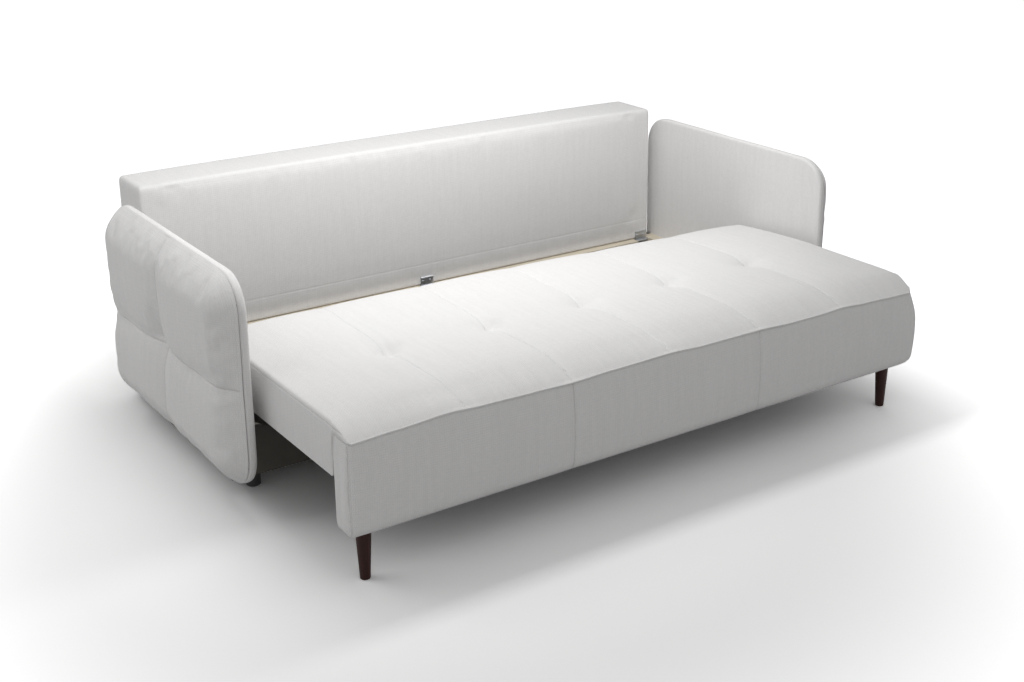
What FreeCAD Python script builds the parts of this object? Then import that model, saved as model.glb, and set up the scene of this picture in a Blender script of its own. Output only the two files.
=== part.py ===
"""Sofa bed with a seat that swings forward on side links and a back that folds down over the box.

The origin is on the floor under the middle of the sofa bed as it stands with the seat pulled out
and the back upright. X runs along the seat, Y towards the back, Z up. All lengths are millimetres.
"""
import FreeCAD, Part
import math
import os

import Sketcher
from FreeCAD import Placement, Rotation, Vector

doc = FreeCAD.newDocument("sofa_bed")

# Driving dimensions

DIMENSIONS = {
    "seat_length": 1950,  # between the two ends of the seat
    "seat_depth": 815,  # front seam to rear edge
    "seat_underside": 283,  # height above the floor
    "seat_edge": 403,  # height of the front seam
    "seat_crown": 451,  # height of the fullest part
    "seat_shelf": 400,  # height at which the cushion lies on the apron
    "seat_rear_edge": 425,  # height of the rear shoulder's foot
    "seat_shoulder": 62,  # how far the crown takes to rise from an end
    "seat_front_shoulder": 120,  # and from the front seam
    "seat_rear_shoulder": 24,  # and from the rear edge
    "seat_shoulder_rise": 34,
    "seat_round": 4,  # how much the crown still rises behind a shoulder
    "seat_seam": 11,  # how far a seam draws the crown down
    "seat_seam_front": 2,  # and the front seam
    "seat_valley": 16,  # how far the row of tufts draws it down between tufts
    "seat_tuft": 33,  # and at a tuft
    "seat_tuft_reach": 108,
    "seat_end_drop": 18,  # how much lower the ends are than the crown
    "seat_end_draw": 7,  # how far the ends' corners are drawn in
    "seat_panels": 6,
    "seat_wall": 8,
    "seat_rear_wall": 15,
    "pull_out": 520,  # back's front face to the seat's rear edge, pulled out
    "side_gap": 35,  # seat and back to the arms
    "apron_depth": 85,
    "apron_bottom": 145,
    "apron_bulge": 15,
    "apron_pad": 23,
    "apron_floor": 7,
    "apron_corner": 25,
    "apron_channel": 8,
    "apron_seam_reach": 32,  # how far beside a seam the apron is drawn in
    "apron_slack": 1,  # how much less it bulges there than in a field's middle
    "apron_end_draw": 5,
    "apron_board": 16,
    "apron_base": 18,
    "timber": 22,
    "seat_rail_height": 60,
    "seat_frame_lift": 4,  # frame's underside above the cushion's lower edge
    "cross_rail_drop": 20,
    "spring_wire": 3.8,
    "spring_count": 10,
    "spring_width": 46,
    "spring_pitch": 36,
    "spring_room": 8,
    "dust_cover": 0.8,
    "dust_cover_inset": 60,
    "leg_foot": 27,
    "leg_top": 42,
    "leg_inset_x": 60,
    "leg_inset_y": 65,
    "leg_chamfer": 2,
    "stud": 8,
    "stud_length": 50,
    "stud_in_leg": 28,
    "box_depth": 675,  # box front to the back's front face
    "box_base": 50,
    "box_top": 232,
    "box_floor": 8,
    "box_panel": 18,
    "box_front_top": 190,
    "rail_width": 65,
    "rail_height": 40,
    "ledge_reach": 30,  # how far the front beam shows before the back
    "ledge_depth": 55,
    "rear_beam": 40,
    "foot_width": 44,
    "foot_taper": 1.5,
    "foot_inset_x": 77,
    "foot_inset_y": 44,
    "glide_width": 40,
    "glide_height": 8,
    "glide_chamfer": 2,
    "glide_stud": 8,
    "glide_stud_length": 22,
    "back_height": 493,
    "back_thickness": 189,
    "back_edge": 15,
    "back_wall": 30,
    "back_top_wall": 40,
    "hinge_forward": 7.5,
    "hinge_drop": 7,
    "hinge_width": 48,
    "hinge_inset": 38,  # outer hinges to the ends of the back
    "knuckle": 13,
    "hinge_pin": 8,
    "leaf": 3,
    "leaf_rise": 28,
    "leaf_bead": 6,
    "leaf_screw_height": 14,
    "leaf_screw_spread": 14,
    "leaf_screw_length": 45,
    "bracket_gap": 1,
    "notch_gap": 2,
    "rail_notch": 17,  # cut out of the side rail's end for the folded hinge leaf
    "link_half_travel": 252,
    "link_rise": 67,
    "link_width": 25,
    "link_corner": 12,
    "link_thickness": 5,
    "link_spread": 140,
    "pivot_inset": 60,  # front pivot behind the box's front
    "pivot_drop": 27,  # pivots below the box's top
    "pivot": 10,
    "pivot_head": 17,
    "pivot_head_thickness": 3.8,
    "plate": 3,
    "link_offset": 5,
    "plate_end": 40,
    "base_plate_below": 20,
    "base_plate_above": 24,
    "seat_plate_below": 14,
    "seat_plate_lap": 33,
    "plate_corner": 10,
    "screw": 5,
    "screw_head": 9,
    "screw_head_thickness": 2.6,
    "screw_length": 20,
    "screw_line": 12,
    "arm_length": 917,
    "arm_forward": 872,  # arm's front edge before the back's front face
    "arm_bottom": 95,
    "arm_height": 597,
    "arm_corner": 100,
    "arm_slab": 24,
    "arm_slab_wall": 9,
    "arm_slab_rim": 14,
    "arm_slab_edge": 5,
    "arm_board": 15,
    "arm_board_corner": 55,
    "arm_board_play": 0.5,
    "arm_pillow": 54,
    "arm_pillow_end": 14,
    "arm_shoulder": 62,
    "arm_round": 2,  # how far a field of the pillow swells beyond its shoulders
    "arm_shoulder_drop": 3,
    "arm_valley": 10,
    "arm_tuft": 26,
    "arm_tuft_reach": 229,
    "arm_bolt": 8,
    "arm_bolt_head": 14,
    "arm_bolt_head_thickness": 7,
    "bolt_inset_front": 312,
    "bolt_inset_rear": 145,
    "bolt_low": 120,
    "bolt_high": 170,
    "seating": 0.3,  # clearance where a soft or loose piece sits
    "hole_clearance": 0.2,
    "running_fit": 0.05,
    "open_pivot_fit": 0.3,
}


class Size:
    """A length with its value and the sheet expression that gives it."""

    def __init__(self, text, value):
        self.text = text
        self.value = value

    def combine(self, sign, other, value):
        return Size(f"({self.text} {sign} {as_size(other).text})", value)

    def __add__(self, other):
        return self.combine("+", other, self.value + float(other))

    def __sub__(self, other):
        return self.combine("-", other, self.value - float(other))

    def __mul__(self, other):
        return self.combine("*", other, self.value * float(other))

    def __truediv__(self, other):
        return self.combine("/", other, self.value / float(other))

    def __radd__(self, other):
        return as_size(other) + self

    def __rsub__(self, other):
        return as_size(other) - self

    def __rmul__(self, other):
        return as_size(other) * self

    def __neg__(self):
        return ZERO - self

    def __float__(self):
        return float(self.value)


def as_size(number):
    """The number as a Size."""
    return number if isinstance(number, Size) else Size(f"({number})", float(number))


def hypotenuse(a, b):
    text = f"sqrt({a.text} * {a.text} + {b.text} * {b.text})"
    return Size(text, math.hypot(float(a), float(b)))


def slope(rise, run):
    """The angle of a slope, in degrees and without its unit."""
    angle = math.degrees(math.atan(float(rise) / float(run)))
    return Size(f"(atan({rise.text} / {run.text}) / 1deg)", angle)


def fill_sheet():
    """Writes the driving dimensions to the sheet and returns each as a Size."""
    sheet = doc.addObject("Spreadsheet::Sheet", "Dims")
    for row, (name, number) in enumerate(DIMENSIONS.items(), start=1):
        sheet.set(f"A{row}", name)
        sheet.set(f"B{row}", str(number))
        sheet.setAlias(f"B{row}", name)
    doc.recompute()
    return {name: Size(f"Dims.{name}", float(sheet.get(name))) for name in DIMENSIONS}


D = fill_sheet()
ZERO = as_size(0)
SIDES = (("left", -1), ("right", 1))
ENDS = (("front", -1), ("rear", 1))
sub_parts = []


# Places that several pieces share

hinge_plane = (D["pull_out"] + D["seat_depth"] + D["apron_bulge"] - D["back_thickness"]) / 2
rear = hinge_plane + D["back_thickness"]
seat_rear = hinge_plane - D["pull_out"]
seat_front = seat_rear - D["seat_depth"]
seat_half = D["seat_length"] / 2
apron_rear = seat_front + D["apron_depth"]

arm_inner = seat_half + D["side_gap"]
arm_joint = arm_inner + D["arm_slab"]
arm_front = hinge_plane - D["arm_forward"]

box_front = hinge_plane - D["box_depth"]
box_floor_top = D["box_base"] + D["box_floor"]
box_inner = arm_inner - D["box_panel"]
rail_bottom = D["box_top"] - D["rail_height"]
rail_inner = arm_inner - D["rail_width"]
ledge_front = hinge_plane - D["ledge_reach"]
ledge_rear = ledge_front + D["ledge_depth"]

frame_half = seat_half - D["seat_wall"]
frame_inner = frame_half - D["timber"]
frame_front = apron_rear
frame_rear = seat_rear - D["seat_rear_wall"]
frame_bottom = D["seat_underside"] + D["seat_frame_lift"]
frame_top = frame_bottom + D["seat_rail_height"]

back_bottom = D["box_top"] + D["seating"]
hinge_y = hinge_plane - D["hinge_forward"]
hinge_z = D["box_top"] - D["hinge_drop"]
outer_hinge = seat_half - D["hinge_inset"]
hinge_places = (-outer_hinge, ZERO, outer_hinge)
ear_inner = D["hinge_width"] / 2 + D["bracket_gap"]
ear_outer = ear_inner + D["leaf"]
notch_half = ear_outer + D["notch_gap"]
notch_back = hinge_plane + D["notch_gap"]
bracket_top = hinge_z - D["knuckle"] / 2 - D["bracket_gap"]

pivot_z = D["box_top"] - D["pivot_drop"]
upper_pivot_z = pivot_z + D["link_rise"]
pivot_y = {"front": box_front + D["pivot_inset"]}
pivot_y["rear"] = pivot_y["front"] + D["link_spread"]
upper_pivot_y = {end: pivot_y[end] - D["link_half_travel"] for end, _ in ENDS}
link_face = rail_inner - D["plate"] - D["link_offset"]


# Helpers that make objects of the document

def keep(thing, label):
    """Names a finished sub-part."""
    thing.Label = label
    sub_parts.append(thing)
    return thing


def place(thing, x, y, z):
    """Binds where the object stands to the sheet."""
    for axis, size in zip("xyz", (x, y, z)):
        thing.setExpression(f"Placement.Base.{axis}", as_size(size).text)


def turn(thing, axis, angle):
    """Turns the object about an axis by an angle of the sheet, in degrees."""
    thing.Placement = Placement(Vector(), Rotation(axis, float(angle)))
    thing.setExpression("Placement.Rotation.Angle", as_size(angle).text)


def block(name, x, y, z):
    """A box between the two values given on each axis."""
    made = doc.addObject("Part::Box", name)
    for side, (low, high) in zip(("Length", "Width", "Height"), (x, y, z)):
        made.setExpression(side, (as_size(high) - low).text)
    place(made, x[0], y[0], z[0])
    return made


def rod(name, axis, steps, at):
    """Cylinders of (radius, length) one after another along the axis, from the point."""
    pieces = []
    here = [as_size(size) for size in at]
    for number, (radius, length) in enumerate(steps):
        made = doc.addObject("Part::Cylinder", f"{name}_{number}")
        made.setExpression("Radius", as_size(radius).text)
        made.setExpression("Height", as_size(length).text)
        made.Placement = Placement(Vector(), Rotation(Vector(0, 0, 1), Vector(*axis)))
        place(made, *here)
        here = [start + as_size(length) * along for start, along in zip(here, axis)]
        pieces.append(made)
    return join(name, pieces)


def join(name, pieces):
    """The pieces as one solid."""
    if len(pieces) == 1:
        return pieces[0]
    made = doc.addObject("Part::MultiFuse", name)
    made.Shapes = pieces
    return made


def cut(name, base, tools):
    """The base with the tools taken out of it."""
    made = doc.addObject("Part::Cut", name)
    made.Base = base
    made.Tool = join(f"{name}_tools", tools)
    return made


def group(name, pieces):
    """Separate solids that are counted as one sub-part."""
    made = doc.addObject("Part::Compound", name)
    made.Links = pieces
    return made


def new_sketch(body, name, role, offset=ZERO):
    """A sketch on the body's own origin plane, or at an offset along its normal."""
    made = body.newObject("Sketcher::SketchObject", name)
    plane = next(p for p in body.Origin.OriginFeatures if p.Role == role)
    made.AttachmentSupport = [(plane, "")]
    made.MapMode = "FlatFace"
    made.setExpression("AttachmentOffset.Base.z", offset.text)
    return made


def hold_point(made, index, position, name, x, y):
    """Holds a point of the sketch at its distances from the sketch's origin."""
    for kind, size in (("DistanceX", as_size(x)), ("DistanceY", as_size(y))):
        held = Sketcher.Constraint(kind, -1, 1, index, position, float(size))
        number = made.addConstraint(held)
        made.renameConstraint(number, f"{name}{kind[-1]}")
        made.setExpression(f"Constraints.{name}{kind[-1]}", size.text)


def draw_outline(made, points):
    """A closed outline of straight lines through the points."""
    corners = [Vector(float(x), float(y), 0) for x, y in points]
    for start, end in zip(corners, corners[1:] + corners[:1]):
        made.addGeometry(Part.LineSegment(start, end), False)
    for step, (x, y) in enumerate(points):
        after = (step + 1) % len(points)
        made.addConstraint(Sketcher.Constraint("Coincident", step, 2, after, 1))
        hold_point(made, step, 1, f"corner{step}", x, y)


def draw_circle(made, x, y, radius):
    middle = Vector(float(x), float(y), 0)
    circle = Part.Circle(middle, Vector(0, 0, 1), float(radius))
    index = made.addGeometry(circle, False)
    hold_point(made, index, 3, f"centre{index}", x, y)
    number = made.addConstraint(Sketcher.Constraint("Radius", index, float(radius)))
    made.renameConstraint(number, f"radius{index}")
    made.setExpression(f"Constraints.radius{index}", as_size(radius).text)


def pad(body, made, length):
    """Grows the sketch into a solid."""
    grown = body.newObject("PartDesign::Pad", f"{made.Name}_pad")
    grown.Profile = made
    grown.setExpression("Length", as_size(length).text)
    return grown


def pocket(body, made, length=None, backwards=False):
    """Cuts the sketch into the body, through all of it if no length is given."""
    doc.recompute()
    before = body.Shape.Volume
    opened = body.newObject("PartDesign::Pocket", f"{made.Name}_pocket")
    opened.Profile = made
    opened.Reversed = backwards
    if length is None:
        opened.Type = "ThroughAll"
    else:
        opened.setExpression("Length", length.text)
    doc.recompute()
    if not body.Shape.Volume < before:
        raise ValueError(f"{made.Name} cuts nothing")
    return opened


def round_edges(body, base, radius, choose):
    """A fillet on those edges of the base feature that the test picks."""
    doc.recompute()
    names = [f"Edge{i}" for i, edge in enumerate(base.Shape.Edges, start=1) if choose(edge)]
    rounded = body.newObject("PartDesign::Fillet", f"{base.Name}_fillet")
    rounded.Base = (base, names)
    rounded.setExpression("Radius", as_size(radius).text)
    return rounded


def runs_along(axis):
    """A test for straight edges along the axis."""
    def test(edge):
        ends = [vertex.Point for vertex in edge.Vertexes]
        if len(ends) < 2:
            return False
        span = ends[1] - ends[0]
        straight = abs(span.Length - edge.Length) < 1e-6
        return straight and abs(abs(span.dot(axis)) - span.Length) < 1e-6
    return test


def stays_at(x):
    """A test for edges that lie in the plane across X at x."""
    def test(edge):
        box = edge.BoundBox
        return abs(box.XMin - float(x)) < 1e-6 and abs(box.XMax - float(x)) < 1e-6
    return test


def plate_body(name, outline, thickness, corner=None, holes=()):
    """A flat piece across X: an outline in Y and Z, rounded corners, and round holes."""
    body = doc.addObject("PartDesign::Body", name)
    drawn = new_sketch(body, f"{name}_outline", "YZ_Plane")
    draw_outline(drawn, outline)
    last = pad(body, drawn, thickness)
    if corner is not None:
        round_edges(body, last, corner, runs_along(Vector(1, 0, 0)))
    if holes:
        drilled = new_sketch(body, f"{name}_holes", "YZ_Plane")
        for y, z, radius in holes:
            draw_circle(drilled, y, z, radius)
        pocket(body, drilled, backwards=True)
    return body


def rectangle(y, z):
    """The outline from the two values on each axis."""
    return [(y[0], z[0]), (y[1], z[0]), (y[1], z[1]), (y[0], z[1])]


def clipped(y, z, corner):
    """The rectangle's outline with its corners cut off."""
    (y0, y1), (z0, z1) = y, z
    return [(y0 + corner, z0), (y1 - corner, z0), (y1, z0 + corner), (y1, z1 - corner),
            (y1 - corner, z1), (y0 + corner, z1), (y0, z1 - corner), (y0, z0 + corner)]


def turned_body(name, profile):
    """A body turned about its own Z from an outline of (radius, height)."""
    body = doc.addObject("PartDesign::Body", name)
    drawn = new_sketch(body, f"{name}_profile", "XZ_Plane")
    draw_outline(drawn, profile)
    spun = body.newObject("PartDesign::Revolution", f"{name}_turn")
    spun.Profile = drawn
    spun.ReferenceAxis = (drawn, ["V_Axis"])
    spun.Angle = 360
    return body


def inward(sign):
    """The direction along X towards the middle, from that side."""
    return (-sign, 0, 0)


def from_wall(sign, distance, thickness):
    """Low and high X of a piece whose outer face is at that distance from the middle."""
    outer = distance * sign
    return (outer - thickness, outer) if sign > 0 else (outer, outer + thickness)


# Bedding box

def bolt_places():
    """Where the arm bolts cross the box side, as (y, z)."""
    rows = (arm_front + D["bolt_inset_front"],
            arm_front + D["arm_length"] - D["bolt_inset_rear"])
    return [(y, z) for y in rows for z in (D["bolt_low"], D["bolt_high"])]


def bolt_holes(y, z):
    """The same holes as a body sees them that stands at y and z."""
    radius = D["arm_bolt"] / 2 + D["hole_clearance"]
    return [(place_y - y, place_z - z, radius) for place_y, place_z in bolt_places()]


def make_box_sides():
    """Side panels: low under the rail, full height between the two beams."""
    low = rail_bottom - box_floor_top
    high = D["box_top"] - box_floor_top
    depth = rear - box_front
    step = ledge_rear - box_front
    back_step = depth - D["rear_beam"]
    outline = [(ZERO, ZERO), (depth, ZERO), (depth, low), (back_step, low),
               (back_step, high), (step, high), (step, low), (ZERO, low)]
    for side, sign in SIDES:
        x = from_wall(sign, arm_inner, D["box_panel"])
        holes = bolt_holes(box_front, box_floor_top)
        body = plate_body(f"box_side_{side}", outline, D["box_panel"], holes=holes)
        place(body, x[0], box_front, box_floor_top)
        keep(body, f"box_side_{side}")


def base_screw_places():
    """Screws that hold each linkage plate to its rail, as (y, z)."""
    z = pivot_z + D["screw_line"]
    middle = (pivot_y["front"] + pivot_y["rear"]) / 2
    reach = D["link_spread"] / 2 + D["plate_end"] - D["screw_line"]
    return [(middle - reach, z), (middle, z), (middle + reach, z)]


def screw_hole(name, axis, at, length):
    return rod(name, axis, [(D["screw"] / 2 + D["hole_clearance"], length)], at)


def make_box_rails():
    """Light wood rails along the tops of the sides."""
    for side, sign in SIDES:
        x = from_wall(sign, arm_inner, D["rail_width"])
        height = (rail_bottom, D["box_top"])
        timber = block(f"rail_timber_{side}", x, (box_front, ledge_front), height)
        notch_end = outer_hinge + notch_half
        notch = block(f"rail_notch_{side}", from_wall(sign, notch_end, notch_end - rail_inner),
                      (ledge_front - D["rail_notch"], ledge_front), height)
        drills = [screw_hole(f"rail_drill_{side}_{n}", (sign, 0, 0), (rail_inner * sign, y, z),
                             D["screw_length"]) for n, (y, z) in enumerate(base_screw_places())]
        keep(cut(f"box_rail_{side}", timber, [notch] + drills), f"box_rail_{side}")


def bracket_screw_places():
    """Screws that hold the hinge brackets to the front beam, as (x, z)."""
    z = (rail_bottom + bracket_top) / 2
    return [(x + D["leaf_screw_spread"] * sign, z) for x in hinge_places for _, sign in SIDES]


def make_beams():
    """The two beams that the back stands on. The front one is notched for the hinges."""
    height = (rail_bottom, D["box_top"])
    across = (-arm_inner, arm_inner)
    timber = block("front_beam_timber", across, (ledge_front, ledge_rear), height)
    notches = [block(f"hinge_notch_{n}", (x - notch_half, x + notch_half),
                     (ledge_front, notch_back), height)
               for n, x in enumerate(hinge_places)]
    drills = [screw_hole(f"beam_drill_{n}", (0, 1, 0), (x, notch_back, z), D["screw_length"])
              for n, (x, z) in enumerate(bracket_screw_places())]
    keep(cut("ledge_beam_front", timber, notches + drills), "ledge_beam_front")
    keep(block("ledge_beam_rear", across, (rear - D["rear_beam"], rear), height),
         "ledge_beam_rear")


def make_box_panels():
    inside = (-box_inner, box_inner)
    keep(block("box_floor_board", (-arm_inner, arm_inner), (box_front, rear),
               (D["box_base"], box_floor_top)), "box_floor_board")
    keep(block("box_front_panel", inside, (box_front, box_front + D["box_panel"]),
               (box_floor_top, D["box_front_top"])), "box_front_panel")
    keep(block("box_rear_panel", inside, (rear - D["box_panel"], rear),
               (box_floor_top, rail_bottom)), "box_rear_panel")


def make_feet():
    """Black feet with a screw glide in each."""
    height = D["box_base"] - D["glide_height"]
    bore = D["glide_stud"] / 2 + D["running_fit"]
    bore_top = D["glide_stud_length"] + D["hole_clearance"]
    top = D["foot_width"] / 2
    foot = [(bore, ZERO), (top - D["foot_taper"], ZERO), (top, height), (ZERO, height),
            (ZERO, bore_top), (bore, bore_top)]
    disc = D["glide_width"] / 2
    stud = D["glide_stud"] / 2
    stud_top = D["glide_height"] + D["glide_stud_length"]
    glide = [(ZERO, ZERO), (disc - D["glide_chamfer"], ZERO), (disc, D["glide_chamfer"]),
             (disc, D["glide_height"]), (stud, D["glide_height"]), (stud, stud_top),
             (ZERO, stud_top)]
    rows = {"front": box_front + D["foot_inset_y"], "rear": rear - D["foot_inset_y"]}
    for end, y in rows.items():
        for side, sign in SIDES:
            x = (arm_inner - D["foot_inset_x"]) * sign
            body = turned_body(f"foot_{end}_{side}", foot)
            place(body, x, y, D["glide_height"])
            keep(body, f"foot_{end}_{side}")
            screwed = turned_body(f"glide_{end}_{side}", glide)
            place(screwed, x, y, ZERO)
            keep(screwed, f"glide_{end}_{side}")


# Arms

def make_arm_slabs():
    """The flat inner slab of each arm: a padded tray round a board."""
    outline = rectangle((ZERO, D["arm_length"]), (ZERO, D["arm_height"]))
    rim = D["arm_slab_rim"]
    opening = clipped((rim, D["arm_length"] - rim), (rim, D["arm_height"] - rim),
                      D["arm_board_corner"])
    depth = D["arm_slab"] - D["arm_slab_wall"]
    for side, sign in SIDES:
        name = f"arm_slab_{side}"
        x = arm_inner if sign > 0 else -arm_joint
        body = doc.addObject("PartDesign::Body", name)
        drawn = new_sketch(body, f"{name}_outline", "YZ_Plane")
        draw_outline(drawn, outline)
        grown = pad(body, drawn, D["arm_slab"])
        rounded = round_edges(body, grown, D["arm_corner"], runs_along(Vector(1, 0, 0)))
        seat_side = ZERO if sign > 0 else D["arm_slab"]
        round_edges(body, rounded, D["arm_slab_edge"], stays_at(seat_side))
        mouth = D["arm_slab"] if sign > 0 else ZERO
        recess = new_sketch(body, f"{name}_recess", "YZ_Plane", mouth)
        draw_outline(recess, opening)
        pocket(body, recess, depth, backwards=sign < 0)
        drilled = new_sketch(body, f"{name}_holes", "YZ_Plane")
        for y, z, radius in bolt_holes(arm_front, D["arm_bottom"]):
            draw_circle(drilled, y, z, radius)
        pocket(body, drilled, backwards=True)
        place(body, x, arm_front, D["arm_bottom"])
        keep(body, name)


def make_arm_boards():
    """The board inside each slab, which the bolts hold."""
    inset = D["arm_slab_rim"] + D["arm_board_play"]
    y = arm_front + inset
    z = D["arm_bottom"] + inset
    size = (D["arm_length"] - inset * 2, D["arm_height"] - inset * 2)
    outline = clipped((ZERO, size[0]), (ZERO, size[1]), D["arm_board_corner"])
    for side, sign in SIDES:
        x = from_wall(sign, arm_inner + D["arm_slab_wall"] + D["arm_board"], D["arm_board"])
        body = plate_body(f"arm_board_{side}", outline, D["arm_board"], holes=bolt_holes(y, z))
        place(body, x[0], y, z)
        keep(body, f"arm_board_{side}")


def make_arm_bolts():
    """Bolts from inside the box through its side and the slab into the board."""
    length = D["box_panel"] + D["arm_slab_wall"] + D["arm_board"]
    head = D["arm_bolt_head_thickness"]
    bolts = []
    for side, sign in SIDES:
        for n, (y, z) in enumerate(bolt_places()):
            steps = [(D["arm_bolt_head"] / 2, head), (D["arm_bolt"] / 2, length)]
            start = ((box_inner - head) * sign, y, z)
            bolts.append(rod(f"arm_bolt_{side}_{n}", (sign, 0, 0), steps, start))
    keep(group("arm_bolts", bolts), "arm_bolts")


# Curved soft forms

def arc(start, through, end):
    return Part.Arc(Vector(*start), Vector(*through), Vector(*end)).toShape()


def line(start, end):
    return Part.LineSegment(Vector(*start), Vector(*end)).toShape()


def ruled_solid(sections):
    """A closed solid through the sections, with straight rulings from one to the next."""
    return Part.makeLoft([Part.Wire(edges) for edges in sections], True, True)


def shoulder(start, end):
    """The through point of a quarter round that leaves start upright and meets end level."""
    share = math.sqrt(0.5)
    return (start[0] + (end[0] - start[0]) * (1 - share), start[1] + (end[1] - start[1]) * share)


# The higher this power, the flatter a field's middle and the steeper its sides
FULLNESS = 2.5


def swell(share):
    """How full a field is at a share of the way across it: 0 at its seams, 1 in the middle."""
    return 1 - abs(2 * share - 1) ** FULLNESS


def make_arm_pillows():
    """The outer pillow of each arm, sewn in two by two fields that meet in one tuft."""
    length, height, corner = (float(D[n]) for n in ("arm_length", "arm_height", "arm_corner"))
    full, reach = float(D["arm_pillow"]), float(D["arm_shoulder"])
    low, front = float(D["arm_bottom"]), float(arm_front)
    valley, tuft = float(D["arm_valley"]), float(D["arm_tuft"])
    tuft_reach, swollen = float(D["arm_tuft_reach"]), float(D["arm_round"])
    drop, end_thickness = float(D["arm_shoulder_drop"]), float(D["arm_pillow_end"])
    inner = float(arm_joint + D["seating"])
    corner_angles = [math.radians(a) for a in (0, 22, 42, 62, 90)]
    from_end = [corner * (1 - math.cos(a)) for a in corner_angles]
    from_end += [length * share for share in (0.18, 0.25, 0.34, 0.42, 0.46, 0.49)]

    def section(distance):
        """Heights and thicknesses of the section at a distance from the nearer end."""
        if distance < corner:
            inset = corner - math.sqrt(corner ** 2 - (corner - distance) ** 2)
            round_off = math.sqrt(1 - (1 - min(distance, reach) / reach) ** 2)
        else:
            inset = 0
            round_off = 1
        field = swell(min(1, distance / (length / 2)))
        lobe = end_thickness + (full - valley + valley * field - end_thickness) * round_off
        near = max(0, 1 - abs(length / 2 - distance) / tuft_reach)
        dip = (valley + (tuft - valley) * near ** 2) * round_off
        edge = lobe - drop * round_off
        z0, z4 = low + inset, low + height - inset
        z2 = (z0 + z4) / 2
        z1, z3 = z0 + reach, z4 - reach
        seam = lobe - dip
        return z0, z1, z2, z3, z4, edge, lobe, seam

    def wire(y, distance, sign):
        z0, z1, z2, z3, z4, edge, lobe, seam = section(distance)

        def at(out, z):
            return ((inner + out) * sign, y, z)

        low_round = shoulder((z0, 0), (z1, edge))
        high_round = shoulder((z4, 0), (z3, edge))
        return [line(at(0, z4), at(0, z0)),
                arc(at(0, z0), at(low_round[1], low_round[0]), at(edge, z1)),
                arc(at(edge, z1), at(lobe + swollen, (z1 + z2) / 2), at(seam, z2)),
                arc(at(seam, z2), at(lobe + swollen, (z2 + z3) / 2), at(edge, z3)),
                arc(at(edge, z3), at(high_round[1], high_round[0]), at(0, z4))]

    for side, sign in SIDES:
        sections = [wire(front + d, d, sign) for d in from_end]
        sections.append(wire(front + length / 2, length / 2, sign))
        sections += [wire(front + length - d, d, sign) for d in reversed(from_end)]
        made = doc.addObject("Part::Feature", f"arm_pillow_{side}")
        made.Shape = ruled_solid(sections)
        keep(made, f"arm_pillow_{side}")


# Linkage

def pin_steps(collar):
    """A pivot pin from its plate: collar, journal through the link, head."""
    head = D["pivot_head"] / 2
    play = D["hole_clearance"]
    return [(head, collar - play), (D["pivot"] / 2, D["link_thickness"] + play * 2),
            (head, D["pivot_head_thickness"])]


def make_base_plates():
    """Steel plates on the box rails with the lower pivots."""
    y0 = pivot_y["front"] - D["plate_end"]
    z0 = pivot_z - D["base_plate_below"]
    length = D["link_spread"] + D["plate_end"] * 2
    height = D["base_plate_below"] + D["base_plate_above"]
    radius = D["screw"] / 2 + D["hole_clearance"]
    holes = [(y - y0, z - z0, radius) for y, z in base_screw_places()]
    pins = []
    for side, sign in SIDES:
        x = from_wall(sign, rail_inner, D["plate"])
        body = plate_body(f"base_plate_{side}", rectangle((ZERO, length), (ZERO, height)),
                          D["plate"], corner=D["plate_corner"], holes=holes)
        place(body, x[0], y0, z0)
        keep(body, f"base_plate_{side}")
        face = (rail_inner - D["plate"]) * sign
        for end, _ in ENDS:
            pins.append(rod(f"base_pivot_{end}_{side}", inward(sign), pin_steps(D["link_offset"]),
                            (face, pivot_y[end], pivot_z)))
    keep(group("base_pivots", pins), "base_pivots")


def make_links():
    """Four bars, two a side, that carry the seat over from one rest to the other."""
    half = D["link_width"] / 2
    reach = hypotenuse(D["link_half_travel"], D["link_rise"])
    outline = rectangle((-half, reach + half), (-half, half))
    lower = D["pivot"] / 2 + D["running_fit"]
    upper = {"front": lower, "rear": D["pivot"] / 2 + D["open_pivot_fit"]}
    for end, _ in ENDS:
        for side, sign in SIDES:
            holes = [(ZERO, ZERO, lower), (reach, ZERO, upper[end])]
            body = plate_body(f"link_{end}_{side}", outline, D["link_thickness"],
                              corner=D["link_corner"], holes=holes)
            turn(body, Vector(1, 0, 0), 180 - slope(D["link_rise"], D["link_half_travel"]))
            x = from_wall(sign, link_face, D["link_thickness"])
            place(body, x[0], pivot_y[end], pivot_z)
            keep(body, f"link_{end}_{side}")


def seat_screw_places():
    """Screws that hold each upper plate to the seat's side rail, as (y, z)."""
    middle = (upper_pivot_y["front"] + upper_pivot_y["rear"]) / 2
    reach = D["link_spread"] / 2 + D["plate_end"] - D["screw_line"]
    z = frame_bottom + D["seat_plate_lap"] - D["screw_line"]
    return [(middle - reach, z), (middle, z), (middle + reach, z)]


def make_seat_plates():
    """Steel plates under the seat with the upper pivots."""
    y0 = upper_pivot_y["front"] - D["plate_end"]
    z0 = upper_pivot_z - D["seat_plate_below"]
    length = D["link_spread"] + D["plate_end"] * 2
    height = frame_bottom + D["seat_plate_lap"] - z0
    radius = D["screw"] / 2 + D["hole_clearance"]
    holes = [(y - y0, z - z0, radius) for y, z in seat_screw_places()]
    pins = []
    for side, sign in SIDES:
        x = from_wall(sign, frame_inner, D["plate"])
        body = plate_body(f"seat_plate_{side}", rectangle((ZERO, length), (ZERO, height)),
                          D["plate"], corner=D["plate_corner"], holes=holes)
        place(body, x[0], y0, z0)
        keep(body, f"seat_plate_{side}")
        face = (frame_inner - D["plate"]) * sign
        collar = frame_inner - D["plate"] - link_face
        for end, _ in ENDS:
            pins.append(rod(f"seat_pivot_{end}_{side}", inward(sign), pin_steps(collar),
                            (face, upper_pivot_y[end], upper_pivot_z)))
    keep(group("seat_pivots", pins), "seat_pivots")


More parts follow.
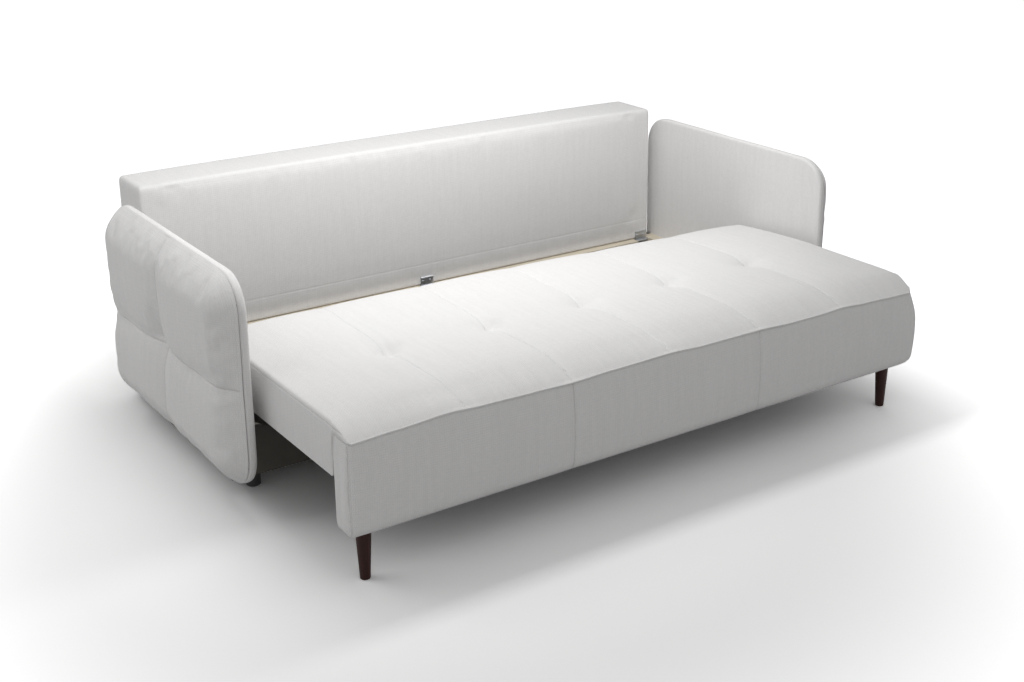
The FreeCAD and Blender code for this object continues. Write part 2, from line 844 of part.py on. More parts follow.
def wood_screw(name, axis, at, length):
    """A flat-headed screw whose head lies on the face at the point."""
    head = D["screw_head_thickness"]
    start = [as_size(place_at) - head * along for place_at, along in zip(at, axis)]
    return rod(name, axis, [(D["screw_head"] / 2, head), (D["screw"] / 2, length)], start)


def make_plate_screws():
    reach = D["plate"] + D["screw_length"] - D["hole_clearance"]
    box_screws = []
    seat_screws = []
    for side, sign in SIDES:
        for n, (y, z) in enumerate(base_screw_places()):
            face = (rail_inner - D["plate"]) * sign
            box_screws.append(wood_screw(f"box_screw_{side}_{n}", (sign, 0, 0), (face, y, z),
                                         reach))
        for n, (y, z) in enumerate(seat_screw_places()):
            face = (frame_inner - D["plate"]) * sign
            seat_screws.append(wood_screw(f"seat_screw_{side}_{n}", (sign, 0, 0), (face, y, z),
                                          reach))
    for n, (x, z) in enumerate(bracket_screw_places()):
        start = (x, notch_back - D["leaf"], z)
        box_screws.append(wood_screw(f"bracket_screw_{n}", (0, 1, 0), start, reach))
    keep(group("box_screws", box_screws), "box_screws")
    keep(group("seat_screws", seat_screws), "seat_screws")


# Seat

def make_seat_frame():
    """Timber rails on edge, with two lower cross rails."""
    height = (frame_bottom, frame_top)
    timber = D["timber"]
    for side, sign in SIDES:
        x = from_wall(sign, frame_half, timber)
        rail = block(f"seat_rail_timber_{side}", x, (frame_front, frame_rear), height)
        drills = [screw_hole(f"seat_rail_drill_{side}_{n}", (sign, 0, 0),
                             (frame_inner * sign, y, z), D["screw_length"])
                  for n, (y, z) in enumerate(seat_screw_places())]
        keep(cut(f"seat_rail_{side}", rail, drills), f"seat_rail_{side}")
    across = (-frame_inner, frame_inner)
    keep(block("seat_rail_front", across, (frame_front, frame_front + timber), height),
         "seat_rail_front")
    keep(block("seat_rail_rear", across, (frame_rear - timber, frame_rear), height),
         "seat_rail_rear")
    low = (frame_bottom, frame_top - D["cross_rail_drop"])
    between = (frame_front + timber, frame_rear - timber)
    third = D["seat_length"] / D["seat_panels"]
    rails = [block(f"seat_cross_rail_{side}", (third * sign - timber / 2, third * sign + timber / 2),
                   between, low) for side, sign in SIDES]
    keep(group("seat_cross_rails", rails), "seat_cross_rails")


def make_springs():
    """Zigzag springs from the front rail to the rear rail."""
    wire = float(D["spring_wire"]) / 2
    pitch = float(D["spring_pitch"])
    half = (float(D["spring_width"]) - pitch) / 2
    start = float(frame_front + D["timber"] / 2)
    reach = float(frame_rear - D["timber"] / 2) - start
    z = float(frame_top + D["hole_clearance"]) + wire
    path = []
    for step in range(int(reach // pitch)):
        y = start + step * pitch
        way = 1 if step % 2 == 0 else -1
        path.append(line((-half * way, y, z), (half * way, y, z)))
        path.append(arc((half * way, y, z), ((half + pitch / 2) * way, y + pitch / 2, z),
                        (half * way, y + pitch, z)))
    first = Vector(-half, start, z)
    section = Part.Wire(Part.makeCircle(wire, first, Vector(1, 0, 0)))
    spring = Part.Wire(path).makePipeShell([section], True, False)
    count = int(float(D["spring_count"]))
    spacing = float(frame_inner * 2) / count
    copies = []
    for number in range(count):
        moved = spring.copy()
        moved.translate(Vector((number - (count - 1) / 2) * spacing, 0, 0))
        copies.append(moved)
    made = doc.addObject("Part::Feature", "seat_springs")
    made.Shape = Part.makeCompound(copies)
    keep(made, "seat_springs")


def make_dust_cover():
    """Thin cloth stapled under the seat frame."""
    half = frame_inner - D["dust_cover_inset"]
    inset = D["hole_clearance"]
    keep(block("dust_cover", (-half, half), (frame_front + inset, frame_rear - inset),
               (frame_bottom - D["dust_cover"], frame_bottom)), "dust_cover")


def make_seat_cushion():
    """The one-piece seat: two crowned halves, six fields and a row of tufts between them."""
    half = float(seat_half)
    front, back = float(seat_front), float(seat_rear)
    middle = (front + back) / 2
    step_y, shelf = float(apron_rear), float(D["seat_shelf"])
    bottom, edge = float(D["seat_underside"]), float(D["seat_edge"])
    rear_edge, crown = float(D["seat_rear_edge"]), float(D["seat_crown"])
    reach, rise = float(D["seat_shoulder"]), float(D["seat_shoulder_rise"])
    front_reach, rear_reach = float(D["seat_front_shoulder"]), float(D["seat_rear_shoulder"])
    seam, valley, tuft = (float(D[n]) for n in ("seat_seam", "seat_valley", "seat_tuft"))
    front_seam, tuft_reach = float(D["seat_seam_front"]), float(D["seat_tuft_reach"])
    panels = int(float(D["seat_panels"]))
    panel = half * 2 / panels
    end_drop, end_draw = float(D["seat_end_drop"]), float(D["seat_end_draw"])
    highest = crown - float(D["seat_round"])

    def wire(x):
        across = (x + half) / panel
        share = across - math.floor(across)
        field = swell(share) if abs(x) < half else 0
        from_end = half - abs(x)
        end = max(0, 1 - from_end / reach) ** 2
        last = from_end < panel / 2
        drawn = end_drop * end if last else seam * (1 - field)
        top = crown - drawn
        near = max(0, 1 - min(share, 1 - share) * panel / tuft_reach)
        dip = valley + (tuft - valley) * near ** 2 * (0 if last else 1)
        hollow = top - dip * (1 - end)
        front_foot = edge - front_seam * (1 - field)
        inset = end_draw * end
        y0, y3 = front + inset, back - inset
        z1 = min(front_foot + rise, highest - drawn)
        z2 = min(rear_edge + rise, highest - drawn)
        y1, y2 = y0 + front_reach, y3 - rear_reach
        front_round = shoulder((y0, front_foot), (y1, z1))
        rear_round = shoulder((y3, rear_edge), (y2, z2))

        def at(y, z):
            return (x, y, z)

        return [line(at(y3, bottom), at(step_y, bottom)),
                line(at(step_y, bottom), at(step_y, shelf)),
                line(at(step_y, shelf), at(y0, shelf)),
                line(at(y0, shelf), at(y0, front_foot)),
                arc(at(y0, front_foot), at(*front_round), at(y1, z1)),
                arc(at(y1, z1), at((y1 + middle) / 2, top), at(middle, hollow)),
                arc(at(middle, hollow), at((y2 + middle) / 2, top), at(y2, z2)),
                arc(at(y2, z2), at(*rear_round), at(y3, rear_edge)),
                line(at(y3, rear_edge), at(y3, bottom))]

    stations = {-half, half}
    for share in (0.12, 0.35, 0.7, 1):
        stations |= {-half + reach * share, half - reach * share}
    for number in range(panels):
        for share in (0, 0.09, 0.22, 0.5, 0.78, 0.91):
            x = -half + (number + share) * panel
            if half - abs(x) > reach + end_draw:
                stations.add(x)
    outer = ruled_solid([wire(x) for x in sorted(stations)])
    room_top = float(frame_top + D["spring_room"])
    width = float(frame_half + D["seating"])
    room = Part.makeBox(2 * width, float(frame_rear + D["seating"]) - step_y,
                        room_top - bottom, Vector(-width, step_y, bottom))
    made = doc.addObject("Part::Feature", "seat_cushion")
    made.Shape = outer.cut(room)
    keep(made, "seat_cushion")


def make_apron():
    """The padded front below the seat, with its boards inside."""
    half = float(seat_half)
    front, back = float(seat_front), float(apron_rear)
    low, top = float(D["apron_bottom"]), float(D["seat_shelf"] - D["seating"])
    corner, bulge = float(D["apron_corner"]), float(D["apron_bulge"])
    channel = float(D["apron_channel"])
    seam = float(D["seat_length"] / D["seat_panels"])
    near, slack = float(D["apron_seam_reach"]), float(D["apron_slack"])
    draw_in = float(D["apron_end_draw"])

    def wire(x, full, inset):
        y = front + inset

        def at(along, z):
            return (x, along, z)

        turn_in = shoulder((y, low + corner), (y + corner, low))
        return [line(at(back, top), at(back, low)),
                line(at(back, low), at(y + corner, low)),
                arc(at(y + corner, low), at(*turn_in), at(y, low + corner)),
                arc(at(y, low + corner), at(y - full, (low + corner + top) / 2), at(y, top)),
                line(at(y, top), at(back, top))]

    right = [(0, bulge, 0), (seam - near, bulge - slack, 0), (seam, bulge - channel, 0),
             (seam + near, bulge - slack, 0), ((seam + half) / 2, bulge, 0),
             (half - near, bulge, 0),
             (half - near / 3, bulge - channel / 3, draw_in / 3),
             (half, bulge - channel, draw_in)]
    stations = [(-x, full, inset) for x, full, inset in reversed(right[1:])] + right
    outer = ruled_solid([wire(*station) for station in stations])
    gap = float(D["seating"])
    width = float(frame_half) + gap
    inner_front = front + float(D["apron_pad"])
    floor = low + float(D["apron_floor"])
    room = Part.makeBox(2 * width, back - inner_front, top - floor,
                        Vector(-width, inner_front, floor))
    drill = float(D["stud"] / 2 + D["hole_clearance"])
    leg_y = float(seat_front + D["leg_inset_y"])
    leg_x = float(seat_half - D["leg_inset_x"])
    holes = [Part.makeCylinder(drill, floor - low, Vector(leg_x * sign, leg_y, low))
             for _, sign in SIDES]
    made = doc.addObject("Part::Feature", "seat_apron")
    made.Shape = outer.cut([room] + holes)
    keep(made, "seat_apron")


def make_apron_boards():
    """Front board, rear board and base of the apron, which make a stiff box section."""
    across = (-frame_half, frame_half)
    front = seat_front + D["apron_pad"] + D["seating"]
    floor = D["apron_bottom"] + D["apron_floor"]
    top = floor + D["apron_base"]
    height = (top, D["seat_shelf"] - D["seating"])
    keep(block("apron_front_board", across, (front, front + D["apron_board"]), height),
         "apron_front_board")
    keep(block("apron_rear_board", across, (apron_rear - D["apron_board"], apron_rear), height),
         "apron_rear_board")
    base = block("apron_base_timber", across, (front, apron_rear), (floor, top))
    drill = D["stud"] / 2 + D["hole_clearance"]
    leg_y = seat_front + D["leg_inset_y"]
    holes = [rod(f"apron_drill_{side}", (0, 0, 1), [(drill, D["apron_base"])],
                 ((seat_half - D["leg_inset_x"]) * sign, leg_y, floor)) for side, sign in SIDES]
    keep(cut("apron_base", base, holes), "apron_base")


def make_wooden_legs():
    """Turned tapered legs with a threaded stud each."""
    foot, top = D["leg_foot"] / 2, D["leg_top"] / 2
    height = D["apron_bottom"]
    bore = D["stud"] / 2 + D["hole_clearance"]
    bore_bottom = height - D["stud_in_leg"] - D["hole_clearance"]
    profile = [(ZERO, ZERO), (foot - D["leg_chamfer"], ZERO), (foot, D["leg_chamfer"]),
               (top, height), (bore, height), (bore, bore_bottom), (ZERO, bore_bottom)]
    y = seat_front + D["leg_inset_y"]
    studs = []
    for side, sign in SIDES:
        x = (seat_half - D["leg_inset_x"]) * sign
        body = turned_body(f"wooden_leg_{side}", profile)
        place(body, x, y, ZERO)
        keep(body, f"wooden_leg_{side}")
        studs.append(rod(f"leg_stud_{side}", (0, 0, 1), [(D["stud"] / 2, D["stud_length"])],
                         (x, y, height - D["stud_in_leg"])))
    keep(group("leg_studs", studs), "leg_studs")


# Back

def leaf_screw_places():
    """Screws through the hinge leaves into the back, as (x, z)."""
    z = D["box_top"] + D["leaf_screw_height"]
    return [(x + D["leaf_screw_spread"] * sign, z) for x in hinge_places for _, sign in SIDES]


def leaf_drills(name):
    return [screw_hole(f"{name}_drill_{n}", (0, 1, 0), (x, hinge_plane, z),
                       D["leaf_screw_length"]) for n, (x, z) in enumerate(leaf_screw_places())]


def make_back_shell():
    """The padded cover of the back: soft edges, open below for its frame."""
    body = doc.addObject("PartDesign::Body", "back_cover")
    outline = rectangle((-seat_half, seat_half), (ZERO, D["back_thickness"]))
    drawn = new_sketch(body, "back_outline", "XY_Plane")
    draw_outline(drawn, outline)
    height = D["back_height"] - D["seating"]
    grown = pad(body, drawn, height)

    def soft(edge):
        return edge.BoundBox.ZMax > float(height) / 2

    round_edges(body, grown, D["back_edge"], soft)
    wall = D["back_wall"]
    room = new_sketch(body, "back_room", "XY_Plane")
    draw_outline(room, rectangle((wall - seat_half, seat_half - wall),
                                 (wall, D["back_thickness"] - wall)))
    pocket(body, room, height - D["back_top_wall"], backwards=True)
    place(body, ZERO, hinge_plane, back_bottom)
    keep(cut("back_shell", body, leaf_drills("shell")), "back_shell")


def make_back_frame():
    """Bottom rail, top rail and three posts inside the cover."""
    inset = D["back_wall"] + D["seating"]
    half = seat_half - inset
    depth = (hinge_plane + inset, rear - inset)
    top = D["box_top"] + D["back_height"] - D["back_top_wall"] - D["seating"]
    timber = D["timber"]
    low = block("back_rail_timber", (-half, half), depth, (back_bottom, back_bottom + timber))
    keep(cut("back_rail_bottom", low, leaf_drills("back_rail")), "back_rail_bottom")
    keep(block("back_rail_top", (-half, half), depth, (top - timber, top)), "back_rail_top")
    upright = (back_bottom + timber, top - timber)
    middles = (timber / 2 - half, ZERO, half - timber / 2)
    posts = [block(f"back_post_{n}", (x - timber / 2, x + timber / 2), depth, upright)
             for n, x in enumerate(middles)]
    keep(group("back_posts", posts), "back_posts")


# Hinges of the back

def make_hinge_brackets():
    """Fixed halves: a flange on the wall of the beam's notch with two ears."""
    brackets = []
    flange_face = notch_back - D["leaf"]
    ear = D["knuckle"] / 2
    for n, x in enumerate(hinge_places):
        parts = [block(f"flange_{n}", (x - ear_outer, x + ear_outer), (flange_face, notch_back),
                       (rail_bottom, bracket_top))]
        for side, sign in SIDES:
            low, high = from_wall(sign, ear_outer, D["leaf"])
            parts.append(block(f"ear_{n}_{side}", (x + low, x + high), (hinge_y, notch_back),
                               (hinge_z - ear, hinge_z + ear)))
            parts.append(block(f"ear_foot_{n}_{side}", (x + low, x + high),
                               (flange_face, notch_back), (rail_bottom, hinge_z)))
            parts.append(rod(f"ear_round_{n}_{side}", (1, 0, 0), [(ear, D["leaf"])],
                             (x + low, hinge_y, hinge_z)))
        bore = rod(f"ear_bore_{n}", (1, 0, 0),
                   [(D["hinge_pin"] / 2 + D["running_fit"], ear_outer * 2)],
                   (x - ear_outer, hinge_y, hinge_z))
        drills = [screw_hole(f"bracket_drill_{n}_{side}", (0, 1, 0),
                             (x + D["leaf_screw_spread"] * sign, flange_face,
                              (rail_bottom + bracket_top) / 2), D["leaf"]) for side, sign in SIDES]
        brackets.append(cut(f"hinge_bracket_{n}", join(f"bracket_{n}", parts), [bore] + drills))
    keep(group("hinge_brackets", brackets), "hinge_brackets")


def make_hinge_leaves():
    """Moving halves: a knuckle round the pin and a leaf up the face of the back."""
    leaves = []
    half = D["hinge_width"] / 2
    face = hinge_plane - D["seating"]
    top = D["box_top"] + D["leaf_rise"]
    bead = D["leaf_bead"] / 2
    for n, x in enumerate(hinge_places):
        parts = [rod(f"knuckle_{n}", (1, 0, 0), [(D["knuckle"] / 2, D["hinge_width"])],
                     (x - half, hinge_y, hinge_z)),
                 block(f"leaf_{n}", (x - half, x + half), (face - D["leaf"], face),
                       (hinge_z, top)),
                 rod(f"bead_{n}", (1, 0, 0), [(bead, D["hinge_width"])],
                     (x - half, face - bead, top))]
        drills = [screw_hole(f"leaf_drill_{n}_{side}", (0, 1, 0),
                             (x + D["leaf_screw_spread"] * sign, face - D["leaf"],
                              D["box_top"] + D["leaf_screw_height"]), D["leaf"])
                  for side, sign in SIDES]
        drills.append(rod(f"knuckle_bore_{n}", (1, 0, 0),
                          [(D["hinge_pin"] / 2 + D["running_fit"], D["hinge_width"])],
                          (x - half, hinge_y, hinge_z)))
        leaves.append(cut(f"hinge_leaf_{n}", join(f"leaf_form_{n}", parts), drills))
    keep(group("hinge_leaves", leaves), "hinge_leaves")


def make_hinge_pins():
    pins = [rod(f"hinge_pin_{n}", (1, 0, 0), [(D["hinge_pin"] / 2, ear_outer * 2)],
                (x - ear_outer, hinge_y, hinge_z)) for n, x in enumerate(hinge_places)]
    keep(group("hinge_pins", pins), "hinge_pins")
    face = hinge_plane - D["seating"] - D["leaf"]
    length = D["leaf_screw_length"] + D["leaf"]
    screws = [wood_screw(f"leaf_screw_{n}", (0, 1, 0), (x, face, z), length)
              for n, (x, z) in enumerate(leaf_screw_places())]
    keep(group("leaf_screws", screws), "leaf_screws")


def check_document():
    """Stops if any object failed or any sub-part has no sound shape."""
    for thing in doc.Objects:
        if {"Invalid", "Error"} & set(thing.State):
            raise ValueError(f"{thing.Label} failed: {thing.State}")
    for thing in sub_parts:
        if thing.Shape.isNull() or not thing.Shape.isValid() or not thing.Shape.Solids:
            raise ValueError(f"{thing.Label} has no sound shape")


def write_parts():
    os.makedirs("parts", exist_ok=True)
    for thing in sub_parts:
        thing.Shape.exportStep(os.path.join("parts", f"{thing.Label}.step"))


def main():
    make_box_sides()
    make_box_rails()
    make_beams()
    make_box_panels()
    make_feet()
    make_arm_slabs()
    make_arm_boards()
    make_arm_bolts()
    make_arm_pillows()
    make_base_plates()
    make_links()
    make_seat_plates()
    make_plate_screws()
    make_seat_frame()
    make_springs()
    make_dust_cover()
    make_seat_cushion()
    make_apron()
    make_apron_boards()
    make_wooden_legs()
    make_back_shell()
    make_back_frame()
    make_hinge_brackets()
    make_hinge_leaves()
    make_hinge_pins()
    doc.recompute()
    check_document()
    write_parts()
    print(len(sub_parts), "sub-parts")


main()
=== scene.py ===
"""Sofa bed with its seat pulled out and its back upright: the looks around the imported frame."""

import math

import bpy
from bpy.props import FloatProperty, PointerProperty, StringProperty
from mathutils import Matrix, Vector, noise


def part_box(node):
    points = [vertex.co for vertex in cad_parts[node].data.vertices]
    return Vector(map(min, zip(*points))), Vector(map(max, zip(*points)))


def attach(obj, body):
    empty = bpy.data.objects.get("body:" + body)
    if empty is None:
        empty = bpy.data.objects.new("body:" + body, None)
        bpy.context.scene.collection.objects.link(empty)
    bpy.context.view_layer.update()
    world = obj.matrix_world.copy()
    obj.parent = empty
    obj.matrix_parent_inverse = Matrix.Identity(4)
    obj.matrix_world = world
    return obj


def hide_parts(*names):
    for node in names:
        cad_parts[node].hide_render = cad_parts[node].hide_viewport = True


bl_info = {
    "name": "Sofa bed",
    "version": (1, 0, 0),
    "blender": (4, 5, 0),
    "location": "3D View > Sidebar > Sofa bed",
    "description": "Makes the covers, finishes and stage of a sofa bed",
    "category": "Object",
}

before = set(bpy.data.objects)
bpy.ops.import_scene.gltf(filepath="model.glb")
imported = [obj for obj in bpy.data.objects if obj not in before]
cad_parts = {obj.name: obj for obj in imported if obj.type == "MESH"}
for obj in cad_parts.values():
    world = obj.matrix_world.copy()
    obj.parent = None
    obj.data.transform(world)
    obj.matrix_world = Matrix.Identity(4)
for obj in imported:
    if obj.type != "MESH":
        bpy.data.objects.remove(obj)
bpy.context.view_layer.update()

SEAT_LOW, SEAT_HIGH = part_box("seat_cushion")
APRON_LOW, APRON_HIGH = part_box("seat_apron")
BACK_LOW, BACK_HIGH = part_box("back_shell")
SLAB_LOW, SLAB_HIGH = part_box("arm_slab_right")
PILLOW_LOW, PILLOW_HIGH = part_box("arm_pillow_right")
SEAT_FRONT = SEAT_LOW.y
SEAT_HALF = SEAT_HIGH.x
PANEL = SEAT_HALF / 3
SEAT_SEAMS = [PANEL * n for n in (-2, -1, 0, 1, 2)]
APRON_SEAMS = [-PANEL, PANEL]
TUFT_ROW = (SEAT_LOW.y + SEAT_HIGH.y) / 2
UNITS = [Vector(int(n == axis) for n in range(3)) for axis in range(3)]

# All lengths are in metres. Radii are for x, y and z, at the low side and then at the high side.
SEAT_EDGE = 0.430
SEAM_LINE = 0.403
SEAT_RADII = ((0.006, 0.028, 0), (0.020, 0.012, 0.012))
SEAT_END_RISE = 0.26
ROUNDNESS = 2.2
REAR_SAG = 0.021
REAR_DROP = 0.010
TUFT_REACH = 0.034
TUFT_LIMIT = 0.2
POCKET_DEPTH = 0.012
POCKET_REACH = 0.085
CORNER_DRAW = 0.017
CORNER_REACH = 0.08
LOW_FADE = 0.018
TOP_FADE = 0.09
SIDE_SEAM = 0.4185
# How far each cover is hollowed out for its frame
SEAT_HOLLOW, APRON_HOLLOW, BACK_HOLLOW = 0.072, 0.0615, 0.452

APRON_BLOCK = (Vector((APRON_LOW.x, SEAT_FRONT, APRON_LOW.z)), Vector(APRON_HIGH))
APRON_RADII = ((0.008, 0.030, 0.034), (0.023, 0, 0))
WELT_RADII = ((0.007, 0.029, 0), (0.0215, 0, 0))
WELT_RISE = 0.0022

BACK_RADII = ((0.012, 0.012, 0.009), (0.012, 0.012, 0.013))
BACK_REST = 0.040
BACK_FOLD = 0.308

ARM_CORNER = 0.100
ARM_CROSS = (BACK_LOW.y - 0.395, 0.375)
LEVEL_SLOPE = -0.027
PILLOW_REACH = 0.080
PILLOW_RISE = 0.054
# The sewn arm stands a little behind its frame at the front and past it at the rear
ARM_LOW = SLAB_LOW + Vector((0, 0.006, 0))
ARM_HIGH = SLAB_HIGH + Vector((0, 0.010, 0))
PILLOW_BLOCK = (Vector((PILLOW_LOW.x, *ARM_LOW.yz)), Vector((PILLOW_HIGH.x, *ARM_HIGH.yz)))

# Size of the net's quads, and the rows of a sewn groove from its middle, in widths
CELL = 0.0145
PANEL_CELL = 0.0148
GROOVE_ROWS = (-1, -0.45, 0, 0.45, 1)
GROOVE_WIDTH = 0.0045

# How far the front seam rises and dips along the seat, from its straight line
SEAM_WAVE = [(-0.975, 0.0), (-0.85, 0.005), (-0.70, 0.012), (-0.60, 0.007), (-0.45, 0.004),
             (-0.325, 0.001), (-0.20, 0.005), (0.0, 0.008), (0.12, 0.003), (0.25, 0.003),
             (0.325, 0.003), (0.45, -0.002), (0.56, -0.002), (0.65, 0.001), (0.76, -0.005),
             (0.90, -0.010), (0.975, -0.012)]

# The covers' cloth while they fill
FILL_FRAMES = 20
CLOTH = {"quality": 5, "mass": 0.35, "tension_stiffness": 18, "compression_stiffness": 18,
         "shear_stiffness": 8, "bending_stiffness": 0.4, "shrink_min": -0.012,
         "vertex_group_mass": "held", "pin_stiffness": 1, "use_pressure": True}

# The finish of each CAD node, by how its name starts
FINISHES = (
    (("box_rail", "seat_rail_left", "seat_rail_right"), "planed_timber_y"),
    (("back_posts",), "planed_timber_z"),
    (("ledge", "seat_rail", "back_rail", "seat_cross"), "planed_timber_x"),
    (("box_side", "box_floor", "box_front", "box_rear", "arm_board", "apron"), "faced_board"),
    (("link", "base_plate", "seat_plate", "seat_springs"), "painted_steel"),
    (("foot",), "black_plastic"),
    (("glide",), "grey_nylon"),
    (("dust",), "spunbonded_cloth"),
    (("wooden",), "stained_walnut"),
    (("",), "plated_zinc"),
)

# Light and camera, as solved from the photograph
WORLD_LIGHT = 0.40
SUN_ANGLE = math.radians(60)
SUNS = (("front_sun", (-0.8, -4.0, 3.6), 0.26), ("rear_sun", (1.2, 4.0, 2.4), 0.15))
SOFTBOXES = (("seat_softbox", (-0.1, -0.2, 1.6), (-0.1, 0.58, 0.55), (1.9, 0.5), 17.0),
             ("left_softbox", (-2.6, 0.9, 2.6), (-1.0, 0.0, 0.5), (2.0, 2.0), 19.0))
CAMERA_PLACE = (-2.3480, -3.5911, 1.8729)
CAMERA_YAW, CAMERA_PITCH = math.radians(35.415), math.radians(17.309)
CAMERA_DATA = {"sensor_width": 36, "lens": 51.02, "shift_x": -0.0586, "shift_y": -0.0977,
               "clip_end": 200}


# Sizes and colours that a user would change

def length(name, description, default, most, least=0.0):
    return FloatProperty(name=name, description=description, default=default, min=least,
                         max=most, unit="LENGTH")


def colour(name, description, default):
    return StringProperty(name=name, description=description, default=default)


class SofaBedSizes(bpy.types.PropertyGroup):
    """Sizes of the sewn covers."""

    seat_crown: length("Seat crown", "How far the seat's middle stands above its edge",
                       0.019, 0.04)
    seam_valley: length("Seam valley", "How far a seam of the seat draws the cover down",
                        0.008, 0.02)
    tuft_depth: length("Tuft depth", "How far each tuft of the seat is pulled in", 0.028, 0.04)
    arm_tuft_depth: length("Arm tuft depth", "How far the tuft of an arm pillow is pulled in",
                           0.030, 0.04)
    apron_bulge: length("Apron bulge", "How far the apron stands out at half its height",
                        0.014, 0.03)
    welt: length("Welt", "Radius of the narrow welt in the front seam", 0.0026, 0.006, 0.001)
    groove: length("Seam groove", "Depth of the fine groove along a sewn seam", 0.003, 0.006)
    weave: length("Weave", "Width of one cell of the basket weave", 0.006, 0.012, 0.002)
    floor: length("Floor", "Width of the studio floor", 80.0, 200.0, 10.0)


class SofaBedColours(bpy.types.PropertyGroup):
    """Colours as sRGB hex values."""

    cover: colour("Cover", "Light grey woven upholstery", "#E6E5E4")
    timber: colour("Timber", "Pale planed birch of the rails", "#D6CCB9")
    board: colour("Board", "Dark faced board of the bedding box", "#5B5751")
    leg: colour("Legs", "Walnut stain on the turned legs", "#2C1009")
    steel: colour("Linkage", "Black painted steel of the links", "#26272A")
    zinc: colour("Zinc", "Bright zinc plating on hinges and screws", "#C9CCD0")
    plastic: colour("Plastic", "Black moulded feet", "#1B1B1C")
    nylon: colour("Nylon", "Dark grey glides under the feet", "#3A3A3C")
    cloth: colour("Under cloth", "Spunbonded cloth under the seat", "#2A2A2C")
    floor: colour("Floor", "Studio floor", "#D2D2D2")


# Working with Blender's tools

def take(piece):
    """Makes the piece the only selected and active one."""
    if bpy.context.object and bpy.context.object.mode != "OBJECT":
        bpy.ops.object.mode_set(mode="OBJECT")
    bpy.ops.object.select_all(action="DESELECT")
    piece.select_set(True)
    bpy.context.view_layer.objects.active = piece


def settle(piece):
    """Puts the piece's place, turn and size into its mesh."""
    take(piece)
    bpy.ops.object.transform_apply(location=True, rotation=True, scale=True)


def choose_faces(piece, test=None):
    """Goes into edit mode with the faces chosen that pass the test, or all of them."""
    take(piece)
    bpy.context.tool_settings.mesh_select_mode = (False, False, True)
    bpy.ops.object.mode_set(mode="EDIT")
    bpy.ops.mesh.select_all(action="DESELECT" if test else "SELECT")
    if test:
        bpy.ops.object.mode_set(mode="OBJECT")
        for face in piece.data.polygons:
            face.select = test(face.center, face.normal)
        bpy.ops.object.mode_set(mode="EDIT")


def cut_plane(piece, at, normal, test=None):
    """Cuts the mesh, or its faces that pass the test, by a plane."""
    choose_faces(piece, test)
    bpy.ops.mesh.bisect(plane_co=at, plane_no=normal)
    bpy.ops.object.mode_set(mode="OBJECT")


def spaced(start, end, step):
    """Places between two ends, evenly about a step apart, ends left out."""
    count = max(1, round(abs(end - start) / step))
    return {start + (end - start) * n / count for n in range(1, count)}


def rims(first, last, steps, last_steps=None):
    """Places a few steps in from both ends of a run."""
    return {first + d for d in steps} | {last - d for d in last_steps or steps}


def panel_cuts(steps):
    """Places along the seat: a net in each panel, the seams between and rows at both ends."""
    places = set(SEAT_SEAMS) | rims(-SEAT_HALF, SEAT_HALF, steps)
    for n in range(6):
        start = -SEAT_HALF + n * PANEL
        places |= spaced(start, start + PANEL, PANEL_CELL)
    return places


def cut_block(name, low, high, lines):
    """A block cut into a net of quads by planes on each axis, with the weave laid on it."""
    bpy.ops.object.select_all(action="DESELECT")
    bpy.ops.mesh.primitive_cube_add(size=1, location=(low + high) / 2)
    piece = bpy.context.object
    piece.name = piece.data.name = name
    piece.scale = high - low
    settle(piece)
    for unit, places in zip(UNITS, lines):
        for place in sorted(places):
            cut_plane(piece, unit * place, unit)
    lay_weave(piece)
    return piece


def lay_weave(piece):
    """Unwraps a block from its six sides, one unit of the map to a metre."""
    layer = piece.data.uv_layers.active or piece.data.uv_layers.new(name="weave")
    points = piece.data.vertices
    corners = piece.data.loops
    for face in piece.data.polygons:
        flat = max(range(3), key=lambda axis: abs(face.normal[axis]))
        across, up = [(1, 2), (0, 2), (0, 1)][flat]
        for index in face.loop_indices:
            at = points[corners[index].vertex_index].co
            layer.data[index].uv = (at[across], at[up])


def mould(piece, form):
    """Moves every point of the mesh to where the form puts it."""
    for point in piece.data.vertices:
        point.co = form(point.co.copy())
    piece.data.update()


def subdivide(piece):
    """Divides every face of the net once and rounds it."""
    take(piece)
    modifier = piece.modifiers.new("subsurf", "SUBSURF")
    modifier.levels = modifier.render_levels = 1
    bpy.ops.object.modifier_apply(modifier=modifier.name)


def smooth(piece):
    take(piece)
    bpy.ops.object.shade_smooth()


def hollow_out(piece, test, way):
    """Pushes the chosen faces into the piece, to leave room for its frame."""
    choose_faces(piece, test)
    bpy.ops.mesh.extrude_region_move(TRANSFORM_OT_translate={"value": way})
    bpy.ops.object.mode_set(mode="OBJECT")


def fill_cover(piece, held, pressure, cap):
    """Lets a sewn cover fill by cloth simulation between the points that hold it.

    held tells of a point at rest whether it is sewn or stapled down."""
    rest = [point.co.copy() for point in piece.data.vertices]
    fixed = [held(at) for at in rest]
    group = piece.vertex_groups.new(name="held")
    for index, hold in enumerate(fixed):
        group.add([index], float(hold), "REPLACE")
    take(piece)
    cover = piece.modifiers.new("cover", "CLOTH")
    for name, value in CLOTH.items():
        setattr(cover.settings, name, value)
    cover.settings.uniform_pressure_force = pressure
    cover.settings.effector_weights.gravity = 0
    cover.point_cache.frame_start = 1
    cover.point_cache.frame_end = FILL_FRAMES
    for number in range(1, FILL_FRAMES + 1):
        bpy.context.scene.frame_set(number)
    bpy.ops.object.modifier_apply(modifier=cover.name)
    bpy.context.scene.frame_set(1)
    for point, start, hold in zip(piece.data.vertices, rest, fixed):
        gain = point.co - start
        if gain.length > cap:
            gain *= cap / gain.length
        point.co = start if hold else start + gain
    piece.vertex_groups.clear()
    piece.data.update()


